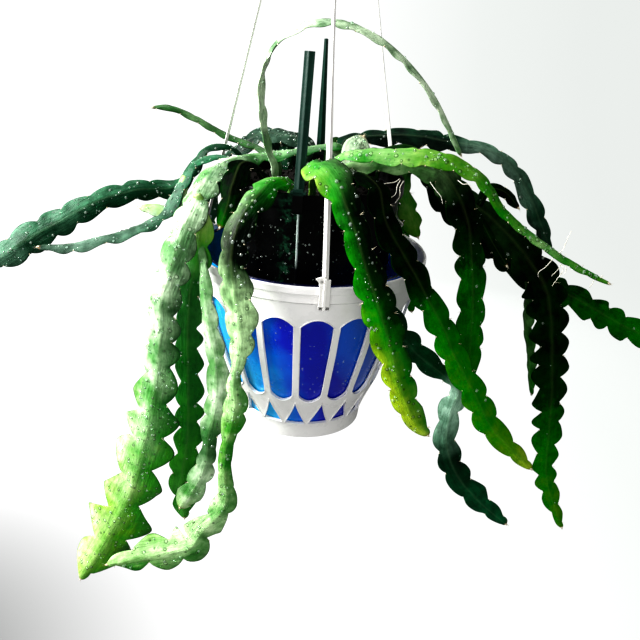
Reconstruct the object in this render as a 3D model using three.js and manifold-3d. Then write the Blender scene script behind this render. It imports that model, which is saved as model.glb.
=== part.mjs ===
// Lepismium bolivianum, an epiphytic cactus with flat, scalloped, hanging stems, in its plastic
// nursery pot, which stands wedged in a white openwork hanging pot with a blue liner.
// Millimetres, +Z up, -Y towards the viewer. The origin is the point where the hook hangs.

import * as THREE from "three";
import { mergeVertices } from "three/addons/utils/BufferGeometryUtils.js";
import Module from "manifold-3d";

const wasm = await Module();
wasm.setup();

// Hanging pot: heights are measured from the plane of its rim, which lies HANG_DROP below the origin
const HANG_DROP = 455;
const BAYS = 18;
const RIB_TURN = -3.7;
const BAY_ANGLE = 360 / BAYS;
const RIM_RADIUS = 100;
const BODY = [
  [-14, 94.5],
  [-37, 90.6],
  [-62, 85],
  [-88, 77],
  [-110, 69],
  [-143, 56.5],
  [-158, 54],
];
const BODY_TOP = BODY[0][0];
const FOOT = BODY.at(-1)[0];
const FLOOR_TOP = -155;
const BODY_WALL = 2.4;
const GAP = 0.4;

// Liner, nursery pot and soil
const LINER_CLEARANCE = 1;
const LINER_WALL = 1.2;
const LINER_TOP = -3;
const LINER_FLOOR = -154.6;
const LINER_HEIGHTS = [-143, -110, -88, -37];
const NURSERY_RADIUS = 75;
const NURSERY_TOP = 63;
const NURSERY_LIP = 12;
const NURSERY_LIP_STEP = 3;
const NURSERY_FOOT = -120;
const NURSERY_FOOT_RADIUS = 60.2;
const NURSERY_WALL = 1.6;
const SOIL_TOP = 50;
const SOIL_HOLE_RADIUS = 6.2;
const SOIL_HOLE_FLOOR = 37.3;
const ROUND_SIDES = 36;
const HUB_SIDES = 16;

// Hanger: three straight arms from a hub under the hook to clips on the rim
const ARM_ANGLES = { front: 7.5, right: 127.5, left: 247.5 };
const HUB_TOP = 414;
const HUB_BOTTOM = 380;
const HUB_RADIUS = 10;
const HUB_FOOT_HEIGHT = 5;
const HUB_TIP_RADIUS = 3.6;
const HOOK_WIRE_RADIUS = 2.6;
const HOOK_INNER_RADIUS = 9;
const HOOK_BEND_DEGREES = { from: -40, to: 205, step: 35 };
// How far the hook's wire starts inside the hub, and how far below the bend and to its side it leans
const HOOK_ROOT = 8;
const HOOK_NECK = 9;
const HOOK_SWAY = { side: 0.45, below: 1.12 };
const HOOK_WIRE_STEPS = 22;
const ARM_TOP_RADIUS = 7.4;
const ARM_WIDTHS = [[0, 2.8], [0.62, 3], [0.78, 5], [1, 5]];
const ARM_THICKNESS = 2.6;
const CLIP_WIDTH = 8;
const CLIP_THICKNESS = 2.2;
const CLIP_TOP = 7;
const CLIP_FOOT = { thickness: 2.6, reach: 5 };
const CLIP_SEAT = { thickness: 2, reach: 4.4 };
const CLIP_RIDGE = { halfWidth: 1, proud: 0.9 };
const BARB = { reach: 3.5, halfHeight: 3, tipRise: 0.5 };

// Two cut-off plastic arms clipped to the nursery pot's rim: each one's turn from the front and from the
// back, its height over the rim, how far its top leans inwards, its width there and its thickness
const UPRIGHT_WIDTH = 8;
const UPRIGHT_FRONT = { turn: -8.1, height: 100, lean: 18.4, topWidth: 8, thickness: 3.4 };
const UPRIGHT_BACK = { turn: 176.4, height: 101, lean: 16.4, topWidth: 3.4, thickness: 2.6 };
const UPRIGHT_CLIP_WALL = 2;
const UPRIGHT_SEAT = { overhang: 2, reach: 5 };

// Stems: a flat strap with a raised midrib and scalloped margins
const MARGIN_HALF_THICKNESS = 0.45;
const MIDRIB_HALF_THICKNESS = 2;
const NECK_WIDTH = 9;
const NECK_LENGTH = 15;
const NECK_SPREAD = 0.8;
// How far each ring of a lobe stands out, from its notch on; stems behind the pot have fewer rings
const LOBE = [0, 0.75, 1];
const LOBE_COARSE = [0, 1];
const REAR_STEMS = ["back_left", "back_mid", "back_right", "rear_centre", "rear_right"];

// Each stem: points along its middle in the hanging pot's frame, the first one in the soil; then, keyed by
// the fraction of its length, where its broad side faces, its width, how deep its notches cut and the
// number of lobes passed.
const STEMS = [
  {
    name: "left_high",
    path: [
      [-56, 16, 38], [-57, 16, 60], [-68, 15, 75], [-88, 11, 76], [-113, 2, 44], [-143, -6, 41],
      [-174, -13, 32], [-206, -19, 14], [-237, -24, -5], [-263, -26, -24],
    ],
    face: [
      [0, 1, 0, 0], [0.12, 0, 0, 1], [0.28, 0, -0.2, 1], [0.45, 0, -0.92, 0.39],
      [1, 0, -0.92, 0.39],
    ],
    width: [[0, 9], [0.12, 13], [0.25, 15], [0.42, 18], [0.6, 20], [0.75, 25], [0.9, 30], [1, 20]],
    cut: [[0, 0.32]],
    lobes: [[0, 0], [1, 11]],
  },
  {
    name: "left_low",
    path: [
      [-60, -1, 38], [-61, -1, 58], [-74, -1, 71], [-97, -6, 66], [-122, -19, 26], [-146, -30, 13],
      [-170, -34, 6], [-194, -36, -1], [-220, -38, -3],
    ],
    face: [[0, 1, 0, 0], [0.2, 0, 0, 1], [1, 0, -0.15, 1]],
    width: [[0, 9], [0.15, 13], [0.25, 14], [0.4, 20], [0.85, 22], [1, 8]],
    cut: [[0, 0.26]],
    lobes: [[0, 0], [1, 9]],
  },
  {
    name: "left_whip",
    path: [
      [-30, 30, 38], [-31, 31, 62], [-46, 38, 71], [-60, 42, 75], [-79, 44, 81], [-105, 42, 94],
      [-125, 38, 102], [-140, 34, 102],
    ],
    face: [[0, 1, -0.4, 0], [0.3, 0.4, -0.5, 1], [1, 0, -0.5, 1]],
    width: [[0, 8], [0.4, 9], [0.9, 8], [1, 3]],
    cut: [[0, 0.3]],
    lobes: [[0, 0], [1, 8]],
  },
  {
    name: "arch",
    path: [
      [-32, -6, 38], [-33, -5, 66], [-39, -3, 81], [-45, 0, 111], [-46, 0, 138], [-36, 0, 161],
      [-18, 0, 175], [5, 0, 181], [37, 0, 174], [63, -2, 158], [89, -6, 132], [106, -10, 106],
      [117, -12, 87],
    ],
    face: [
      [0, -1, 0.35, 0], [0.25, -1, 0.35, 0], [0.5, 0, -0.3, 1], [0.75, 1, -0.35, 0.6],
      [1, 1, -0.35, 0],
    ],
    width: [[0, 9], [0.15, 15], [0.85, 15], [1, 7]],
    cut: [[0, 0.22]],
    lobes: [[0, 0], [1, 15]],
  },
  {
    name: "left_front",
    path: [
      [24, 24, 38], [23, 24, 62], [20, 18, 83], [5, 15, 82], [-13, 14, 78], [-33, 13, 74],
      [-52, 6, 72], [-67, -14, 72], [-78, -36, 68], [-85, -52, 58], [-91, -66, 45], [-98, -74, 26],
      [-104, -78, 3], [-112, -80, -26], [-113, -81, -51], [-115, -81, -77], [-120, -81, -109],
      [-125, -80, -139], [-132, -79, -167], [-140, -78, -200], [-155, -77, -239],
      [-176, -75, -282], [-193, -73, -312],
    ],
    face: [
      [0, 1, 0.2, 0], [0.08, 0, 0, 1], [0.2, 0, -0.3, 1], [0.3, -0.3, -0.6, 0.8],
      [0.42, -0.35, -1, 0.1], [1, -0.1, -1, 0.1],
    ],
    width: [
      [0, 9], [0.08, 18], [0.2, 20], [0.28, 26], [0.4, 28], [0.46, 31], [0.53, 30], [0.6, 34],
      [0.66, 46], [0.74, 54], [0.8, 49], [0.87, 63], [0.93, 52], [0.97, 32], [1, 8],
    ],
    cut: [[0, 0.28], [0.5, 0.34], [0.62, 0.46], [0.75, 0.52], [1, 0.56]],
    lobes: [[0, 0], [0.6, 15], [0.8, 18.4], [1, 21]],
  },
  {
    name: "front_left",
    path: [
      [-14, -44, 38], [-15, -45, 58], [-20, -60, 70], [-31, -75, 71], [-39, -88, 64],
      [-48, -94, 52], [-54, -99, 37], [-56, -104, 19], [-53, -107, -1], [-49, -107, -27],
      [-48, -106, -49], [-52, -105, -78], [-51, -103, -103], [-54, -101, -121], [-58, -100, -146],
      [-59, -99, -171], [-57, -98, -188], [-61, -97, -208], [-76, -96, -228], [-87, -95, -248],
      [-110, -94, -258], [-137, -93, -267], [-163, -92, -277],
    ],
    face: [
      [0, 0.3, 0.9, 0], [0.1, 0.1, -0.2, 1], [0.2, -0.4, -0.9, 0.7], [0.28, -0.3, -1, 0.2],
      [0.7, 0, -1, 0.1], [1, 0, -1, 0.3],
    ],
    width: [
      [0, 9], [0.07, 14], [0.11, 24], [0.28, 25], [0.35, 29], [0.41, 20], [0.455, 8], [0.49, 19],
      [0.54, 22], [0.59, 11], [0.67, 13], [0.73, 23], [0.8, 31], [0.87, 41], [0.94, 31], [1, 6],
    ],
    cut: [[0, 0.32], [0.5, 0.32], [0.6, 0.15], [0.68, 0.2], [0.76, 0.5], [1, 0.55]],
    lobes: [[0, 0], [0.54, 11], [0.7, 14], [1, 19]],
  },
  {
    name: "front_main",
    path: [
      [-1, -34, 38], [-1, -35, 60], [-1, -52, 79], [-1, -70, 86], [-1, -86, 89], [8, -100, 89],
      [17, -109, 81], [24, -117, 67], [32, -125, 50], [41, -131, 26], [52, -134, -1],
      [63, -134, -31], [74, -132, -63], [87, -130, -90], [99, -129, -104],
    ],
    face: [
      [0, -0.8, 1, 0], [0.1, -0.8, 0.2, 0.6], [0.2, -0.8, 0, 0.6], [0.27, 0, -0.6, 0.8],
      [0.4, 0, -1, 0.2], [1, 0, -1, 0.1],
    ],
    width: [
      [0, 9], [0.1, 10], [0.22, 10], [0.285, 29], [0.34, 28], [0.42, 21], [0.52, 21], [0.6, 27],
      [0.7, 28], [0.92, 21], [1, 9],
    ],
    cut: [[0, 0.1], [0.2, 0.15], [0.3, 0.3], [1, 0.33]],
    lobes: [[0, 0], [1, 13]],
  },
  {
    name: "front_right",
    path: [
      [22, -38, 38], [23, -39, 62], [33, -56, 77], [48, -77, 71], [53, -93, 53], [64, -99, 36],
      [78, -103, 16], [92, -105, -6], [104, -106, -25], [114, -106, -45], [131, -106, -72],
      [153, -105, -108], [170, -105, -125], [191, -104, -145],
    ],
    face: [[0, 0, 1, 0], [0.15, 0.1, -0.1, 1], [0.33, 0.3, -1, 0.3], [1, 0, -1, 0.2]],
    width: [[0, 9], [0.12, 18], [0.3, 22], [0.82, 23], [0.93, 16], [1, 6]],
    cut: [[0, 0.34]],
    lobes: [[0, 0], [1, 14]],
  },
  {
    name: "front_hidden",
    path: [
      [8, -58, 38], [9, -59, 60], [19, -73, 75], [27, -91, 66], [33, -109, 52], [37, -111, 35],
      [46, -109, 12], [58, -105, -11], [72, -100, -33], [91, -95, -54], [111, -91, -70],
      [124, -90, -84], [121, -90, -104], [121, -90, -130], [133, -90, -161], [154, -90, -186],
      [184, -89, -212],
    ],
    face: [[0, 0, 1, 0], [0.13, 0, -0.1, 1], [0.26, 0, -1, 0.2], [1, 0, -1, 0.1]],
    width: [[0, 9], [0.15, 18], [0.5, 22], [0.58, 17], [0.615, 5], [0.66, 20], [0.9, 24], [1, 8]],
    cut: [[0, 0.36]],
    lobes: [[0, 0], [1, 17]],
  },
  {
    name: "right_top",
    path: [
      [14, -2, 38], [15, -3, 60], [25, -13, 73], [41, -21, 78], [67, -28, 83], [96, -32, 79],
      [112, -36, 63], [124, -39, 40], [131, -40, 9], [137, -40, -26], [140, -40, -62],
      [144, -39, -104],
    ],
    face: [
      [0, -1, 0.3, 0], [0.15, 0, -0.3, 1], [0.4, 0.2, -0.8, 0.8], [0.55, 0.3, -1, 0.1],
      [1, 0, -1, 0.1],
    ],
    width: [[0, 9], [0.12, 16], [0.2, 26], [0.35, 30], [0.5, 30], [0.65, 27], [0.9, 24], [1, 12]],
    cut: [[0, 0.32]],
    lobes: [[0, 0], [1, 13]],
  },
  {
    name: "right_whip",
    path: [
      [6, -18, 38], [7, -19, 64], [18, -28, 82], [31, -38, 88], [55, -46, 90], [80, -52, 92],
      [99, -54, 91], [113, -55, 86], [126, -56, 79], [147, -57, 55], [179, -58, 32],
      [210, -58, 15], [240, -58, 2],
    ],
    face: [[0, -1, 0.3, 0], [0.12, -0.4, -0.3, 1], [0.3, 0.1, -0.8, 0.8], [1, 0.2, -0.8, 0.8]],
    width: [[0, 8], [0.2, 14], [0.34, 18], [0.46, 17], [0.56, 12], [0.68, 9], [0.9, 7], [1, 3]],
    cut: [[0, 0.26]],
    lobes: [[0, 0], [1, 15]],
  },
  {
    name: "right_far",
    path: [
      [38, 12, 38], [39, 12, 60], [52, 11, 80], [72, 10, 87], [88, 10, 83], [106, 6, 59],
      [132, 4, 46], [159, 2, 27], [184, 0, 4], [207, -2, -25], [217, -2, -55], [223, -2, -84],
      [230, -2, -124], [235, -2, -167], [242, -2, -220], [268, -2, -278],
    ],
    face: [
      [0, -1, 0.2, 0], [0.1, 0, -0.1, 1], [0.17, 0, -0.3, 1], [0.3, 0.3, -0.9, 0.5],
      [0.5, 0.2, -1, 0.1], [1, 0, -1, 0.1],
    ],
    width: [
      [0, 9], [0.1, 14], [0.18, 16], [0.32, 28], [0.48, 42], [0.62, 38], [0.8, 29], [0.92, 20],
      [1, 6],
    ],
    cut: [[0, 0.3], [0.4, 0.36], [0.5, 0.46], [1, 0.46]],
    lobes: [[0, 0], [1, 22]],
  },
  {
    name: "right_out",
    path: [
      [54, 28, 38], [55, 28, 60], [66, 28, 76], [84, 28, 76], [111, 29, 37], [151, 30, 9],
      [187, 31, -18], [217, 32, -34], [247, 33, -46], [273, 34, -59], [297, 35, -71],
      [323, 36, -82], [347, 36, -94],
    ],
    face: [
      [0, -1, 0.1, 0], [0.12, 0, -0.1, 1], [0.22, 0, -0.3, 1], [0.4, 0.3, -0.9, 0.4],
      [1, 0.1, -0.9, 0.3],
    ],
    width: [[0, 9], [0.12, 14], [0.2, 16], [0.4, 22], [0.6, 26], [0.9, 28], [1, 14]],
    cut: [[0, 0.3], [0.55, 0.34], [0.7, 0.42], [1, 0.42]],
    lobes: [[0, 0], [1, 17]],
  },
  {
    name: "right_back",
    path: [
      [16, 46, 38], [17, 47, 61], [26, 58, 80], [33, 67, 80], [55, 71, 83], [89, 72, 85],
      [120, 70, 82], [146, 68, 80], [167, 67, 72], [184, 66, 58], [199, 64, 37], [212, 62, 14],
      [225, 60, -11],
    ],
    face: [[0, -1, 0.2, 0], [0.12, 0, -0.2, 1], [0.3, 0.1, -0.8, 0.9], [1, 0.2, -1, 0.1]],
    width: [[0, 9], [0.15, 20], [0.45, 22], [0.58, 14], [0.7, 16], [0.86, 21], [0.95, 15], [1, 6]],
    cut: [[0, 0.36]],
    lobes: [[0, 0], [1, 12]],
  },
  {
    name: "back_right",
    path: [
      [40, 44, 38], [40, 45, 60], [46, 56, 71], [56, 70, 71], [68, 84, 50], [77, 92, 16],
      [96, 92, -41], [102, 92, -70], [107, 92, -94],
    ],
    face: [[0, 0, -1, 0], [0.2, 0, 0, 1], [0.4, 0.5, 1, 0.2], [1, 0.3, 1, 0]],
    width: [[0, 9], [0.2, 16], [0.4, 20], [0.8, 20], [1, 7]],
    cut: [[0, 0.34]],
    lobes: [[0, 0], [1, 10]],
  },
  {
    name: "back_left",
    path: [
      [-8, 50, 38], [-9, 52, 62], [-10, 62, 76], [-28, 66, 79], [-49, 68, 79], [-65, 70, 69],
      [-84, 84, 52], [-98, 90, 4], [-101, 92, -60], [-97, 94, -132],
    ],
    face: [
      [0, 1, 0, 0], [0.12, 0, -0.6, 1], [0.33, 0, -0.7, 0.8], [0.42, -0.3, 0.2, 1],
      [0.55, -0.7, 0.7, 0.1], [1, -0.7, 0.7, 0],
    ],
    width: [[0, 9], [0.15, 20], [0.9, 22], [1, 8]],
    cut: [[0, 0.28]],
    lobes: [[0, 0], [1, 13]],
  },
  {
    name: "back_mid",
    path: [
      [30, 53, 38], [30, 54, 60], [35, 67, 77], [46, 89, 65], [54, 104, 30], [57, 112, -30],
      [54, 115, -110], [60, 118, -180],
    ],
    face: [[0, 0, -1, 0], [0.13, 0, 0, 1], [0.3, 0.3, 1, 0.2], [1, 0.2, 1, 0]],
    width: [[0, 9], [0.15, 18], [0.9, 22], [1, 8]],
    cut: [[0, 0.28]],
    lobes: [[0, 0], [1, 13]],
  },
  {
    name: "crown_pale",
    path: [
      [30, 0, 38], [30, 0, 58], [32, 1, 75], [34, 2, 85], [39, 4, 95],
    ],
    face: [[0, 0, -1, 0], [1, 0, -1, 0.3]],
    width: [[0, 8], [0.35, 14], [0.6, 24], [0.88, 23], [1, 12]],
    cut: [[0, 0.2]],
    lobes: [[0, 0], [1, 3]],
  },
  {
    name: "rear_centre",
    path: [
      [-24, 55, 38], [-24, 56, 60], [-29, 80, 78], [-34, 104, 52], [-38, 112, -10],
      [-36, 114, -90], [-42, 115, -160],
    ],
    face: [[0, 0, -1, 0], [0.15, 0, 0, 1], [0.4, -0.1, 1, 0.1], [1, -0.1, 1, 0]],
    width: [[0, 9], [0.2, 20], [0.9, 22], [1, 8]],
    cut: [[0, 0.28]],
    lobes: [[0, 0], [1, 12]],
  },
  {
    name: "rear_right",
    path: [
      [14, 59, 38], [14, 60, 62], [18, 75, 78], [24, 105, 46], [25, 113, -30], [20, 115, -120],
      [26, 117, -220],
    ],
    face: [[0, 0, -1, 0], [0.13, 0, 0, 1], [0.35, 0.1, 1, 0.1], [1, 0.1, 1, 0]],
    width: [[0, 9], [0.15, 18], [0.9, 22], [1, 8]],
    cut: [[0, 0.28]],
    lobes: [[0, 0], [1, 14]],
  },
  {
    name: "crown_left",
    path: [
      [-38, -18, 38], [-39, -19, 60], [-46, -30, 72], [-56, -46, 76], [-61, -58, 62],
      [-64, -64, 47], [-69, -70, 32],
    ],
    face: [[0, -0.3, 0.9, 0], [0.25, 0, -0.2, 1], [0.5, -0.2, -0.7, 0.8], [1, -0.3, -1, 0.3]],
    width: [[0, 9], [0.25, 18], [0.5, 24], [0.85, 20], [1, 7]],
    cut: [[0, 0.34]],
    lobes: [[0, 0], [1, 5]],
  },
];

// Side shoots, each grown into the stem it starts from
const SHOOTS = [
  {
    from: "right_far",
    path: [
      [134, 4, 44], [146, -4, 26], [157, -8, 10], [169, -10, -5],
    ],
    face: [[0, 0.2, -1, 0.2], [1, 0.2, -1, 0.2]],
    width: [[0, 7], [0.4, 10], [0.8, 10], [1, 4]],
    cut: [[0, 0.2]],
    lobes: [[0, 0], [1, 3]],
  },
  {
    from: "right_far",
    path: [
      [140, 4, 43], [147, 8, 56], [160, 10, 55], [176, 10, 41],
    ],
    face: [[0, 0.2, -1, 0.4], [1, 0.2, -1, 0.4]],
    width: [[0, 7], [0.4, 10], [0.8, 10], [1, 4]],
    cut: [[0, 0.2]],
    lobes: [[0, 0], [1, 3]],
  },
  {
    from: "right_far",
    path: [
      [182, 1, 5], [196, 12, -28], [203, 14, -73], [209, 14, -93], [218, 14, -139],
    ],
    face: [[0, -0.9, -0.4, 0], [1, -0.9, -0.4, 0]],
    width: [[0, 7], [0.3, 16], [0.8, 16], [1, 5]],
    cut: [[0, 0.3]],
    lobes: [[0, 0], [1, 7]],
  },
  {
    from: "left_front",
    path: [
      [-88, -61, 55], [-82, -62, 37], [-84, -67, 13], [-91, -69, -20], [-93, -70, -54],
      [-93, -70, -90], [-93, -70, -128], [-94, -70, -157], [-99, -70, -198], [-97, -70, -239],
    ],
    face: [[0, -0.3, -1, 0.1], [1, 0, -1, 0.1]],
    width: [[0, 7], [0.15, 21], [0.5, 25], [0.85, 27], [0.95, 22], [1, 10]],
    cut: [[0, 0.46]],
    lobes: [[0, 0], [1, 13]],
  },
  {
    from: "left_front",
    path: [
      [-84, -66, 16], [-80, -78, -1], [-77, -84, -22], [-74, -86, -42], [-69, -86, -72],
      [-68, -85, -110], [-74, -83, -144], [-77, -81, -172], [-88, -79, -201], [-100, -78, -222],
    ],
    face: [[0, -0.5, -1, 0.1], [1, 0, -1, 0.1]],
    width: [[0, 6], [0.2, 15], [0.45, 21], [0.62, 22], [0.72, 13], [0.8, 20], [0.94, 23], [1, 14]],
    cut: [[0, 0.32]],
    lobes: [[0, 0], [1, 10]],
  },
  {
    from: "left_low",
    path: [
      [-104, -11, 56], [-115, -17, 28], [-128, -17, 29], [-141, -17, 29],
    ],
    face: [[0, 0, -0.6, 1], [1, 0, -0.6, 1]],
    width: [[0, 7], [0.4, 14], [0.8, 14], [1, 6]],
    cut: [[0, 0.2]],
    lobes: [[0, 0], [1, 3]],
  },
  {
    from: "right_out",
    path: [
      [86, 28, 75], [79, 28, 60], [79, 26, 47], [83, 26, 33], [89, 27, 19], [96, 28, 4],
    ],
    face: [[0, 0.2, -1, 0.4], [1, 0.2, -1, 0.1]],
    width: [[0, 7], [0.2, 12], [0.4, 15], [0.62, 20], [0.84, 20], [1, 8]],
    cut: [[0, 0.42]],
    lobes: [[0, 0], [0.25, 1], [1, 4]],
  },
];

const MATERIALS = {
  planter_white: { color: 0xf1efe9, roughness: 0.38 },
  liner_blue: { color: 0x0b2fc4, roughness: 0.2, transparent: true, opacity: 0.75 },
  nursery_black: { color: 0x111312, roughness: 0.45 },
  soil: { color: 0x2a2019, roughness: 0.95 },
  hanger_white: { color: 0xf4f2ec, roughness: 0.35 },
  upright_dark: { color: 0x1c2b22, roughness: 0.4 },
  stem_green: { color: 0x2f6b2a, roughness: 0.4 },
  stem_young: { color: 0x86a93a, roughness: 0.4 },
  stem_pale: { color: 0x9dbd8c, roughness: 0.4 },
};
const YOUNG_STEMS = ["right_whip", "left_whip"];
const PALE_STEMS = ["left_low", "crown_pale", "arch", "left_front"];

const part = new THREE.Group();
const pot = new THREE.Group();
pot.position.z = -HANG_DROP;
part.add(pot);

function addMesh(parent, name, geometry, slot) {
  const mesh = new THREE.Mesh(geometry, new THREE.MeshStandardMaterial(MATERIALS[slot]));
  mesh.name = name;
  parent.add(mesh);
  return mesh;
}

// Straight-line reading of a table of [key, value, ...] rows, held at its ends
function keyed(rows, key) {
  if (key <= rows[0][0]) return rows[0].slice(1);
  for (let i = 1; i < rows.length; i++) {
    const [from, to] = [rows[i - 1], rows[i]];
    if (key <= to[0]) {
      const t = (key - from[0]) / (to[0] - from[0]);
      return from.slice(1).map((value, k) => value + (to[k + 1] - value) * t);
    }
  }
  return rows.at(-1).slice(1);
}

function indexedGeometry(points, triangles) {
  const geometry = new THREE.BufferGeometry();
  const position = new THREE.Float32BufferAttribute(points.flatMap((p) => [p.x, p.y, p.z]), 3);
  geometry.setAttribute("position", position);
  geometry.setIndex(triangles.flat());
  return geometry;
}

function toSolid(geometry) {
  const bare = geometry.clone();
  bare.deleteAttribute("normal");
  bare.deleteAttribute("uv");
  const merged = mergeVertices(bare, 1e-4);
  const vertProperties = new Float32Array(merged.attributes.position.array);
  const triVerts = new Uint32Array(merged.index.array);
  return new wasm.Manifold(new wasm.Mesh({ numProp: 3, vertProperties, triVerts }));
}

function fromSolid(solid) {
  const { vertProperties, triVerts } = solid.getMesh();
  const geometry = new THREE.BufferGeometry();
  geometry.setAttribute("position", new THREE.BufferAttribute(vertProperties, 3));
  geometry.setIndex(new THREE.BufferAttribute(triVerts, 1));
  return geometry;
}

function joined(geometries) {
  return fromSolid(geometries.map(toSolid).reduce((sum, solid) => sum.add(solid)));
}

// A turned piece: profile points are [height, radius], from the axis round to the axis again
function turned(profile, sides = ROUND_SIDES) {
  const points = profile.map(([height, radius]) => new THREE.Vector2(radius, height));
  const start = THREE.MathUtils.degToRad(RIB_TURN);
  return new THREE.LatheGeometry(points, sides, start).rotateX(Math.PI / 2);
}

function bodyRadius(height) {
  return keyed([...BODY].reverse(), height)[0];
}

// Angle 0 is the front and angles grow towards +X
function atAngle(degrees, radius, height) {
  const angle = THREE.MathUtils.degToRad(degrees);
  return new THREE.Vector3(radius * Math.sin(angle), -radius * Math.cos(angle), height);
}

// White wall of half a bay between a rib's middle (0) and a window's middle (1), as [place, height].
// An arched window is left open beside it and half a triangle under the rib.
const HALF_BAY = [
  [0, BODY_TOP], [0, -62], [0, -88], [0, -117.5], [0.92, -143], [0, -143], [0, FOOT], [1, FOOT],
  [1, -143], [1, -116], [0.6, -114.5], [0.2, -110], [0.18, -88], [0.16, -62], [0.15, -37],
  [0.55, -31.5], [1, -30], [1, BODY_TOP],
];
// The triangles between those points, which follow the wall's curve from height to height
const WALL_FACES = [
  [0, 1, 14], [1, 13, 14], [1, 2, 13], [2, 12, 13], [2, 3, 12], [3, 11, 12], [3, 4, 11], [4, 8, 11],
  [8, 10, 11], [8, 9, 10], [0, 14, 15], [0, 15, 16], [0, 16, 17], [5, 6, 4], [6, 7, 4], [7, 8, 4],
];
const OPEN_EDGES = [[3, 4], [4, 5], [9, 10], [10, 11], [11, 12], [12, 13], [13, 14], [14, 15], [15, 16]];
// The rim from the wall's outside over the lip to the wall's inside, as [height, radius]
const RIM = [
  [BODY_TOP, bodyRadius(BODY_TOP)], [BODY_TOP, 96.8], [-6.5, 97.4], [-6.5, RIM_RADIUS],
  [0, RIM_RADIUS], [0, 97.6], [BODY_TOP, bodyRadius(BODY_TOP) - BODY_WALL],
];

function halfBay(ribAngle, side) {
  const points = [];
  const triangles = [];
  const angleAt = (place) => ribAngle + (side * place * BAY_ANGLE) / 2;
  const face = (a, b, c) => triangles.push(side > 0 ? [a, b, c] : [a, c, b]);
  const quad = (a, b, c, d) => {
    face(a, b, c);
    face(a, c, d);
  };

  const count = HALF_BAY.length;
  for (const [place, height] of HALF_BAY)
    points.push(atAngle(angleAt(place), bodyRadius(height), height));
  for (const [place, height] of HALF_BAY) {
    const inner = Math.max(height, FLOOR_TOP);
    points.push(atAngle(angleAt(place), bodyRadius(height) - BODY_WALL, inner));
  }
  for (const [a, b, c] of WALL_FACES) {
    face(a, b, c);
    face(count + a, count + c, count + b);
  }
  for (const [a, b] of OPEN_EDGES) quad(b, a, count + a, count + b);

  const rim = points.length;
  for (const [height, radius] of RIM)
    for (const place of [0, 1]) points.push(atAngle(angleAt(place), radius, height));
  for (let i = 0; i < RIM.length - 1; i++) {
    const low = rim + 2 * i;
    quad(low, low + 1, low + 3, low + 2);
  }

  const centre = points.length;
  points.push(new THREE.Vector3(0, 0, FOOT), new THREE.Vector3(0, 0, FLOOR_TOP));
  const [ribFoot, windowFoot] = [6, 7];
  face(centre, windowFoot, ribFoot);
  face(centre + 1, count + ribFoot, count + windowFoot);
  return indexedGeometry(points, triangles).toNonIndexed();
}

function planterGeometry() {
  const positions = [];
  for (let bay = 0; bay < BAYS; bay++)
    for (const side of [1, -1]) {
      const half = halfBay(RIB_TURN + bay * BAY_ANGLE, side);
      positions.push(...half.attributes.position.array);
    }
  const whole = new THREE.BufferGeometry();
  whole.setAttribute("position", new THREE.Float32BufferAttribute(positions, 3));
  return mergeVertices(whole, 1e-3);
}

function linerGeometry() {
  const outside = (height) => bodyRadius(height) - BODY_WALL - LINER_CLEARANCE;
  const heights = [...LINER_HEIGHTS, LINER_TOP];
  const outer = heights.map((height) => [height, outside(height)]);
  const inner = outer.map(([height, radius]) => [height, radius - LINER_WALL]).reverse();
  const floor = LINER_FLOOR + LINER_WALL;
  return turned([
    [LINER_FLOOR, 0],
    [LINER_FLOOR, outside(LINER_FLOOR)],
    ...outer,
    ...inner,
    [floor, outside(LINER_FLOOR) - LINER_WALL],
    [floor, 0],
  ]);
}

// Radius of the nursery pot's outside under its lip
function nurseryRadius(height) {
  const underLip = NURSERY_RADIUS - NURSERY_LIP_STEP;
  const rise = (height - NURSERY_FOOT) / (NURSERY_TOP - NURSERY_LIP - NURSERY_FOOT);
  return NURSERY_FOOT_RADIUS + (underLip - NURSERY_FOOT_RADIUS) * rise;
}

function nurseryGeometry() {
  const lip = NURSERY_TOP - NURSERY_LIP;
  const floor = NURSERY_FOOT + NURSERY_WALL;
  return turned([
    [NURSERY_FOOT, 0],
    [NURSERY_FOOT, NURSERY_FOOT_RADIUS],
    [lip, nurseryRadius(lip)],
    [lip, NURSERY_RADIUS],
    [NURSERY_TOP, NURSERY_RADIUS],
    [NURSERY_TOP, NURSERY_RADIUS - NURSERY_WALL],
    [SOIL_TOP, nurseryRadius(SOIL_TOP) - NURSERY_WALL],
    [floor, nurseryRadius(floor) - NURSERY_WALL],
    [floor, 0],
  ]);
}

function soilGeometry() {
  const floor = NURSERY_FOOT + NURSERY_WALL + GAP;
  const radius = (height) => nurseryRadius(height) - NURSERY_WALL - GAP;
  const body = turned([[floor, 0], [floor, radius(floor)], [SOIL_TOP, radius(SOIL_TOP)], [SOIL_TOP, 0]]);
  const depth = SOIL_TOP - SOIL_HOLE_FLOOR;
  let soil = toSolid(body);
  for (const { path } of STEMS) {
    const hole = new THREE.CylinderGeometry(SOIL_HOLE_RADIUS, SOIL_HOLE_RADIUS, 2 * depth, 8);
    hole.rotateX(Math.PI / 2).translate(path[0][0], path[0][1], SOIL_TOP);
    soil = soil.subtract(toSolid(hole));
  }
  return fromSolid(soil);
}

// One ring of a strap: six points round the middle, thin at both margins
function ring(middle, side, normal, left, right, edge, rib) {
  const at = (across, out) =>
    middle.clone().addScaledVector(side, across).addScaledVector(normal, out);
  return [at(-left, edge), at(-left, -edge), at(0, -rib), at(right, -edge), at(right, edge), at(0, rib)];
}

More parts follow.
